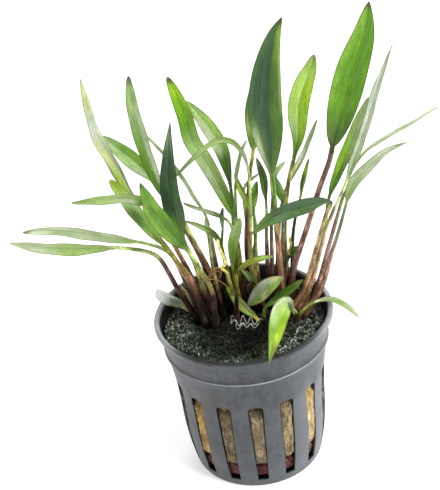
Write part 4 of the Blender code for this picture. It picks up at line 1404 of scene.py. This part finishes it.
leafStyle = {
    # what every leaf has unless leafLooks says otherwise; angles in degrees, lengths in millimetres
    "stalkBase": 0.95,
    "stalkNeck": 0.27,
    "stalkPerWidth": 0.055,
    "fold": 14.0,
    # the tone of its dried tip
    "tip": None,
    # how high painted shade darkens its foot, where that isn't its group's value
    "paintedShade": None,
    # patches of another tone: its name, from and to across (-1 left, 1 right), from and to along
    "patches": [],
    "wave": 0.14,
    "waveLength": 11.0,
    "thick": 0.15,
    "edge": 0.05,
    "rib": 0.34,
    "groove": 0.14,
    "fullStalk": 60.0,
    # how much thicker the stalk's foot is, and over what length
    "flare": 0.35,
    "flareLength": 4.0,
    "endRadius": 0.06,
    "bulge": 0.12,
    "bulgeSize": 5.0,
    "ribWidth": 0.32,
    # gaps between the sections of the stalk and of the blade, where over 1 crowds them towards the tip
    "stalkGap": 2.2,
    "stationGap": 1.25,
    "crowding": 1.25,
    # how near a rootstock a leaf still stands on it, and how far its foot clears what is below
    "footReach": 0.6,
    "footClear": 0.35,
}

# How high painted shade darkens the stalks of each group
shadeReach = {"left": 13, "middle": 10, "right": 5.5, "far": 4.5}

# Each leaf's tones from the foot to the neck of its stalk, its tones along the blade, and what it has
# otherwise than leafStyle. A pair of tones is the left and right half of the way that the blade points;
# the halves differ in the leaf's own colour and by painted light and shade, where the folded halves face the
# light differently.
leafLooks = {
    "leaf_left_01": ("cocoa plum sage", "sage sage sage willow willow", {}),
    "leaf_left_02": ("plum mauve sage", "sage willow willow willow/dew dew/willow", {"tip": "mauve"}),
    "leaf_left_03": ("cocoa rust fern", "fern fern/leek willow/sage sage sage", {}),
    "leaf_left_04": ("cocoa tan sage", "lime lime/straw straw/willow silver straw",
        {"patches": [("pine", 0.3, 1.2, 0.02, 0.46), ("plum", -1.2, -0.75, 0.1, 0.45)]}),
    "leaf_left_05": ("cocoa plum sage", "celery/leek willow/grass celery/leek celery/leek willow/celery", {}),
    "leaf_left_06": ("cocoa rust olive", "olive leek holly/leek celery lime",
        {"patches": [("holly", -1.2, -0.3, 0.38, 0.6)]}),
    "leaf_left_07": ("cocoa khaki sage", "moss fern fern/grass fern/leek grass", {"tip": "teal",
        "patches": [("leek", -1.2, -0.5, 0.2, 0.8), ("moss", 0.1, 0.7, 0.3, 0.55)]}),
    "leaf_left_08": ("cocoa khaki sage", "grass/moss teal/ivy teal/ivy teal slate", {"tip": "wine"}),
    "leaf_left_09": ("umber rust sage", "moss grass/dew leek/dew celery/dew celery", {"tip": "plum"}),
    "leaf_left_10": ("cocoa plum willow", "celery dew sage sage dew", {}),
    # its near white blade is painted light standing in for light shining through it
    "leaf_left_11": ("khaki khaki celery", "straw silver mist mist mist", {"paintedShade": 2}),
    # its silver tones are painted light that makes up for the shade it stands in
    "leaf_left_12": ("olive olive khaki", "straw khaki/silver khaki/silver tan/silver silver/straw",
        {"paintedShade": 3, "patches": [("straw", 0.6, 1.2, 0.2, 0.9)]}),
    "leaf_left_13": ("cocoa khaki sage", "celery/spring celery/sage dew dew straw", {}),
    "leaf_middle_01": ("cocoa olive sage", "leek/fern willow/sage celery grass/leek apple", {"tip": "wine"}),
    "leaf_middle_02": ("cocoa olive moss", "ivy moss dew/spring willow/spring celery", {}),
    "leaf_middle_03": ("cocoa khaki sage", "willow sage sage sage slate", {}),
    "leaf_middle_04": ("umber plum olive", "fern/sage sage/moss moss slate/ivy slate", {}),
    "leaf_middle_05": ("umber olive olive", "olive leek leek/sage celery celery", {}),
    "leaf_middle_06": ("umber olive fern", "lime/leek lime/leek spring/khaki lime/olive sage", {}),
    "leaf_middle_07": ("umber moss leek", "sage celery celery celery dew", {}),
    "leaf_middle_08": ("cocoa plum sage", "sage silver tan willow willow", {}),
    "leaf_middle_09": ("cocoa plum willow", "ivy fern/ivy holly/moss pine/holly slate", {}),
    "leaf_middle_10": ("cocoa khaki leek", "sage holly/spring holly/leek leek/holly fern", {}),
    "leaf_middle_11": ("cocoa olive sage", "sage slate willow willow sage", {}),
    "leaf_middle_12": ("brass olive olive", "olive moss moss sage sage", {}),
    "leaf_middle_13": ("umber olive moss", "slate willow moss/fern ivy slate", {}),
    "leaf_middle_14": ("umber umber brass", "brass/olive brass brass spring/brass spring", {"paintedShade": 4}),
    "leaf_middle_15": ("gold brass brass", "spring/brass spring/straw brass/straw spring lime/brass",
        {"paintedShade": 3}),
    # its willow patch low on the left half of the blade is a painted highlight
    "leaf_right_01": ("plum rust fern", "moss moss/holly teal/holly teal/holly ivy/leek", {"tip": "wine",
        "patches": [("willow", -1.2, -0.55, 0.04, 0.36), ("ivy", -1.2, -0.8, 0.4, 0.95),
            ("teal", -0.5, 0.3, 0.12, 0.9), ("straw", 0.9, 1.3, 0.5, 1.0)]}),
    "leaf_right_02": ("cocoa olive khaki", "grass celery/lime spring/lime spring/lime spring",
        {"tip": "khaki"}),
    "leaf_right_03": ("plum mauve moss", "sage straw/sage mist/willow willow willow", {}),
    "leaf_right_04": ("plum umber holly", "olive holly/sage holly/lime lime khaki", {}),
    "leaf_right_05": ("cocoa plum slate", "moss fern/leek fern/celery fern/celery fern/celery", {}),
    "leaf_right_06": ("cocoa plum holly", "holly/moss moss sage/celery sage/dew willow/dew", {}),
    "leaf_right_07": ("rust tan khaki", "ivy/pine ivy/pine ivy/teal ivy/pine moss", {}),
    # its pale tones are painted light that makes up for the shade it stands in
    "leaf_right_08": ("olive khaki khaki", "silver/spring silver/spring silver/straw dew/spring straw/spring",
        {"paintedShade": 3}),
    "leaf_right_09": ("umber umber umber", "celery umber/khaki celery/khaki celery/khaki celery/khaki",
        {"paintedShade": 3}),
    "leaf_right_10": ("umber olive holly", "fern fern/celery fern/leek fern/leek khaki/leek", {"paintedShade": 3}),
    "leaf_right_11": ("cocoa plum moss", "moss moss fern moss moss", {}),
    "leaf_right_12": ("umber olive celery", "celery/dew spring/celery apple/celery lime/leek olive/leek",
        {"patches": [("dew", 0.7, 1.2, 0.0, 0.5)]}),
    "leaf_far_right_01": ("plum mauve plum", "moss grass grass grass leek/grass", {"tip": "wine",
        "patches": [("leek", -1.2, -0.55, 0.3, 0.9), ("fern", 0.2, 0.6, 0.2, 0.9)]}),
    "leaf_far_right_02": ("rust tan moss", "grass/fern apple/fern apple/sage sage/willow sage/willow", {}),
    "leaf_far_right_03": ("rust tan willow", "dew/celery silver/dew mist mist silver", {"tip": "plum"}),
    "leaf_far_right_04": ("rust mauve slate", "sage willow willow willow dew", {}),
    "leaf_far_right_05": ("rust mauve slate", "sage willow/celery willow/dew silver willow", {}),
    "leaf_far_right_06": ("umber olive sage", "willow/dew willow/sage sage sage willow", {}),
    "leaf_far_right_07": ("khaki sage celery", "celery celery celery celery sage", {}),
}

leafSlots = {
    "leaf_dark": ["leaf_left_08", "leaf_left_10", "leaf_middle_02", "leaf_middle_04", "leaf_middle_09",
        "leaf_right_01", "leaf_right_05", "leaf_right_07", "leaf_right_08", "leaf_right_09", "leaf_right_11"],
    "leaf_bright": ["leaf_left_06", "leaf_left_07", "leaf_middle_01", "leaf_middle_06", "leaf_middle_10",
        "leaf_middle_12", "leaf_middle_14", "leaf_middle_15", "leaf_right_02", "leaf_right_04",
        "leaf_right_10", "leaf_right_12", "leaf_far_right_07"],
    "leaf_pale": ["leaf_left_01", "leaf_left_02", "leaf_left_03", "leaf_left_11", "leaf_middle_03",
        "leaf_middle_07", "leaf_middle_08", "leaf_middle_11", "leaf_right_03", "leaf_right_06",
        "leaf_far_right_03", "leaf_far_right_05", "leaf_far_right_06"],
}

leafFinishes = {
    # roughness, shine of the outer skin, strength of the mottling, strength of the veins
    "leaf_green": ("greenBlade", 0.46, 0.06, 0.9, 0.25),
    "leaf_dark": ("darkBlade", 0.38, 0.12, 1.0, 0.3),
    "leaf_bright": ("brightBlade", 0.48, 0.05, 0.8, 0.2),
    "leaf_pale": ("paleBlade", 0.42, 0.1, 0.7, 0.25),
}

# What the shader lays over each leaf's own tones; those without screen multiply what is below
bladeTones = {
    "back": screen(176, 190, 158), "vein": screen(206, 214, 150), "rim": screen(84, 58, 52),
    "stalkHighlight": screen(236, 214, 184), "blotch": (0.55, 0.66, 0.42), "streak": (1.7, 1.5, 1.7),
    "grain": (0.55, 0.64, 0.5), "rib": (0.5, 0.6, 0.46), "rimShade": (0.5, 0.46, 0.36),
    "glare": (2.3, 2.1, 1.9), "bar": (0.36, 0.27, 0.28),
}

# The side that the leaves' faces turn to before their own roll is added
faceTowards = Vector((0.0, -0.863, 0.505))
stepsPerSpan = 16
acrossMarks = [-1, -0.97, -0.9, -0.78, -0.62, -0.45, -0.29, -0.16, -0.07, 0]
acrossMarks += [-mark for mark in reversed(acrossMarks[:-1])]


def makeBladeFinish(name, roughness, shine, mottling, veining):
    constants = {"Specular IOR Level": 0.22, "Coat Weight": shine, "Coat Roughness": 0.2,
                 "Subsurface Weight": 0.1, "Subsurface Radius": (0.4, 0.8, 0.2), "Subsurface Scale": 0.001}
    finish = Finish(name, constants)
    tone = finish.toneReading("tone")
    across = finish.reading("rib")
    rib = abs(across)
    half = finish.reading("half")
    run = finish.reading("run")
    blade = finish.reading("blade")
    bare = 1 - blade
    share = rib / (half + 0.05)

    def scaled(colour, name):
        return finish.mix(1.0, colour, bladeTones[name], "MULTIPLY")

    # streaks and blotches that are drawn out along the leaf
    streak = finish.grain(finish.vector(across * mm, run * (mm * 0.14), 0.0), 1.3, 4.0, 0.7)
    blotch = finish.grain(finish.vector(across * (mm * 0.8), run * (mm * 0.4), 0.01), 0.42, 3.0, 0.6)
    fine = finish.grain(finish.vector(across * mm, run * mm, 0.02), 1.8, 3.0, 0.7)
    # the midrib, and three pairs of side veins that run from the neck to the tip
    middle = 1 - finish.step(rib, 0.06, 0.32)
    lines = []
    for at, weight in ((0.28, 1.0), (0.52, 0.9), (0.76, 0.7)):
        lines.append((1 - finish.step(abs(share - at) * half, 0.02, 0.16)) * weight)
    web = (lines[0] + lines[1] + lines[2]) * blade
    back = finish.mix(0.15, tone, finish.mix(0.5, tone, bladeTones["back"]))
    face = finish.mix(finish.reading("upper"), back, tone)
    dusk = finish.step(blotch, 0.4, 0.62) * (mottling * 0.6)
    dusky = finish.mix(dusk, face, scaled(face, "blotch"))
    glow = finish.step(streak, 0.48, 0.66) * (mottling * 0.6)
    lit = finish.mix(glow, dusky, scaled(dusky, "streak"))
    speckle = finish.step(fine, 0.42, 0.6) * (mottling * 0.5)
    grainy = finish.mix(speckle, lit, scaled(lit, "grain"))
    veined = finish.mix(web * (veining * 0.5), grainy, finish.mix(0.35, grainy, bladeTones["vein"]))
    ribbed = finish.mix(middle * blade * 0.35, veined, scaled(veined, "rib"))
    edge = (1 - finish.step(half - rib, 0.12, 0.42)) * blade
    rim = finish.mix(0.35, scaled(ribbed, "rimShade"), bladeTones["rim"])
    edged = finish.mix(edge * 0.8, ribbed, rim)
    # painted highlight streaks and bronze bars on the stalk
    stalkHighlight = finish.mix(0.07, scaled(edged, "glare"), bladeTones["stalkHighlight"])
    highlighted = finish.mix(finish.step(streak, 0.48, 0.6) * bare * 0.75, edged, stalkHighlight)
    bars = finish.step(blotch, 0.46, 0.62) * bare * 0.7
    barred = finish.mix(bars, highlighted, scaled(highlighted, "bar"))
    height = fine * 0.3 + streak * (bare * 0.4 + 0.15) - web * 0.5 - middle * blade * 0.3
    dull = roughness + blotch * 0.2 - fine * 0.14 + bare * 0.1
    return finish.wear(Base_Color=barred, Roughness=dull, Normal=finish.bump(height, 0.12))


def footHeight(x, y):
    # where a leaf's foot clears the rootstock or the plug below it
    for name in crowns["nodes"]:
        middleX, middleY, radius, _ = crownShape(name)
        if math.hypot(x - middleX, y - middleY) < radius + leafStyle["footReach"]:
            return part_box(name)[1].z / mm + leafStyle["footClear"]
    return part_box("wool_plug")[1].z / mm + leafStyle["footClear"]


def bladeShare(f, outline):
    # half width of a blade, as a share of its most, from neck to tip
    peak, fullness, bluntness = bladeShapes[outline]
    if f <= 0 or f >= 1:
        return 0.0
    if f < peak:
        return math.sin(math.pi / 2 * f / peak) ** fullness
    return math.cos(math.pi / 2 * (f - peak) / (1 - peak)) ** bluntness


def toneStops(stalkNames, bladeNames, side, neckAt, total, tip, reach):
    # places along a leaf and its tones there, on the left (side 0) or the right (side 1)
    foot, stalk, neck = [tones[name] for name in stalkNames.split()]
    # painted shade darkens the stalk's foot where it meets the moss
    paintedShade = blendTones(foot, tones["peat"], 0.85)
    stops = [(0, paintedShade), (min(2.5, neckAt * 0.1), paintedShade), (min(reach, neckAt * 0.33), foot)]
    stops += [(neckAt * 0.5, stalk), (neckAt * 0.92, neck)]
    names = bladeNames.split()
    for k, name in enumerate(names):
        share = 0.1 + 0.8 * k / (len(names) - 1)
        stops.append((neckAt + (total - neckAt) * share, tones[name.split("/")[-side]]))
    last = stops[-1][1]
    if tip:
        stops += [(total - 3.2, last), (total - 0.8, blendTones(last, tones[tip], 0.85))]
        stops = [stop for k, stop in enumerate(stops) if k == 0 or stop[0] > stops[k - 1][0]]
    return stops + [(total + 1, stops[-1][1])]


def patchShare(patch, s, f):
    # how far a patch's tone shows at a place across (-1 to 1) and along (0 to 1) the blade
    left, right, low, high = patch[1:]
    across = easeStep(s, left - 0.2, left + 0.2) * (1 - easeStep(s, right - 0.2, right + 0.2))
    along = easeStep(f, low - 0.1, low + 0.1) * (1 - easeStep(f, high - 0.1, high + 0.1))
    return across * along


def toneAt(stops, run):
    for (low, first), (high, second) in zip(stops, stops[1:]):
        if run <= high:
            return blendTones(first, second, easeStep(run, low, high))
    return stops[-1][1]


def leafMarks(neckAt, total, style):
    # distances of the sections from the foot, closer together towards the tip
    stalkCount = max(6, round(neckAt / style["stalkGap"]))
    bladeCount = max(16, round((total - neckAt) / style["stationGap"]))
    marks = [neckAt * i / stalkCount for i in range(stalkCount)]
    for i in range(bladeCount + 1):
        marks.append(neckAt + (total - neckAt) * (1 - (1 - i / bladeCount) ** style["crowding"]))
    return marks


def leafSides(along, turn):
    # the way across a leaf and the way up from its face
    across = along.cross(faceTowards).normalized()
    side = across * math.cos(turn) + across.cross(along) * math.sin(turn)
    return side, side.cross(along).normalized()


def makeLeaf(name, index, finish):
    points, neck, width, roll, outline = leafRoutes[name]
    stalkNames, bladeNames, changes = leafLooks[name]
    style = {**leafStyle, **changes}
    x, y = points[0]
    route = smoothRoute([(x, y, footHeight(x, y))] + points[1:], stepsPerSpan)
    lengths = routeLengths(route)
    total = lengths[-1]
    neckAt = lengths[neck * stepsPerSpan]
    marks = leafMarks(neckAt, total, style)
    places = placesAlong(route, lengths, marks)
    base = style["stalkBase"] * (0.55 + 0.45 * min(1.0, total / style["fullStalk"]))
    slim = style["stalkNeck"] + style["stalkPerWidth"] * width
    reach = style["paintedShade"] or shadeReach[name.split("_")[1]]
    sideStops = []
    for number in (0, 1):
        sideStops.append(toneStops(stalkNames, bladeNames, number, neckAt, total, style["tip"], reach))
    last = len(marks) - 1
    shape = []
    values = {key: [] for key in ("upper", "rib", "half", "run", "blade")}
    colours = []
    for k, mark in enumerate(marks):
        along = (places[min(k + 1, last)] - places[max(k - 1, 0)]).normalized()
        side, up = leafSides(along, math.radians(roll))
        f = max(0.0, (mark - neckAt) / (total - neckAt))
        radius = base + (slim - base) * min(1.0, mark / neckAt)
        radius *= 1 + style["flare"] * math.exp(-mark / style["flareLength"])
        radius *= 1 - 0.85 * easeStep(f, 0.3, 1.0)
        half = max(radius, width / 2 * bladeShare(f, outline))
        if k == last:
            half = radius = style["endRadius"]
        flat = easeStep((half - radius) / (0.8 * slim), 0, 1)
        thin = 1 - 0.45 * f
        rim = math.tan(math.radians(style["fold"])) * half
        leftTone, rightTone = [toneAt(stops, mark) for stops in sideStops]
        for layer in (1, -1):
            for s in acrossMarks if layer == 1 else reversed(acrossMarks[1:-1]):
                seat = abs(s)
                phase = mark / style["waveLength"] * 2 * math.pi + (2.1 if s > 0 else 0.0) + index * 1.7
                ripple = style["wave"] * math.sin(phase) * seat ** 2 * min(1.0, half / 2)
                bulge = wobble(s * half, mark, index * 31, style["bulgeSize"]) * style["bulge"] * flat
                swell = (style["edge"] + (style["thick"] - style["edge"]) * (1 - seat ** 2)) * thin * layer
                ridge = math.exp(-(s * half / style["ribWidth"]) ** 2) * thin
                relief = -style["groove"] * ridge if layer == 1 else -style["rib"] * ridge
                sheet = rim * seat ** 1.15 + ripple + bulge + swell + relief
                tube = radius * math.sqrt(max(0.0, 1 - s * s)) * layer
                if layer == 1:
                    # a channel along the stalk's face
                    tube -= radius * 0.3 * math.exp(-(s / 0.35) ** 2) * easeStep(mark, 8, neckAt)
                shape.append(places[k] + side * (s * half) + up * (tube + (sheet - tube) * flat))
                values["upper"].append(0.5 if seat == 1 else (1.0 if layer == 1 else 0.0))
                values["rib"].append(s * half)
                values["half"].append(half)
                values["run"].append(mark + index * 137.0)
                values["blade"].append(flat)
                tone = blendTones(leftTone, rightTone, easeStep(s, -0.3, 0.3))
                for patch in style["patches"]:
                    tone = blendTones(tone, tones[patch[0]], patchShare(patch, s, f) * 0.8)
                colours.append(tone)
    count = len(acrossMarks) * 2 - 2
    faces = [tuple(reversed(face)) for face in ringFaces(len(marks), count)]
    faces += [cap(0, count), cap(last * count, count, True)]
    piece = name.replace("leaf", "blade")
    makePiece(piece, shape, faces, finish, [name], values, {"tone": colours})


def makeLeaves():
    finishes = {slotName: makeBladeFinish(*settings) for slotName, settings in leafFinishes.items()}
    slotOf = {name: slotName for slotName, names in leafSlots.items() for name in names}
    for index, name in enumerate(leafRoutes):
        slotName = slotOf.get(name, "leaf_green")
        makeLeaf(name, index, finishes[slotName])


makeLeaves()
print("leaves made:", len(leafRoutes))
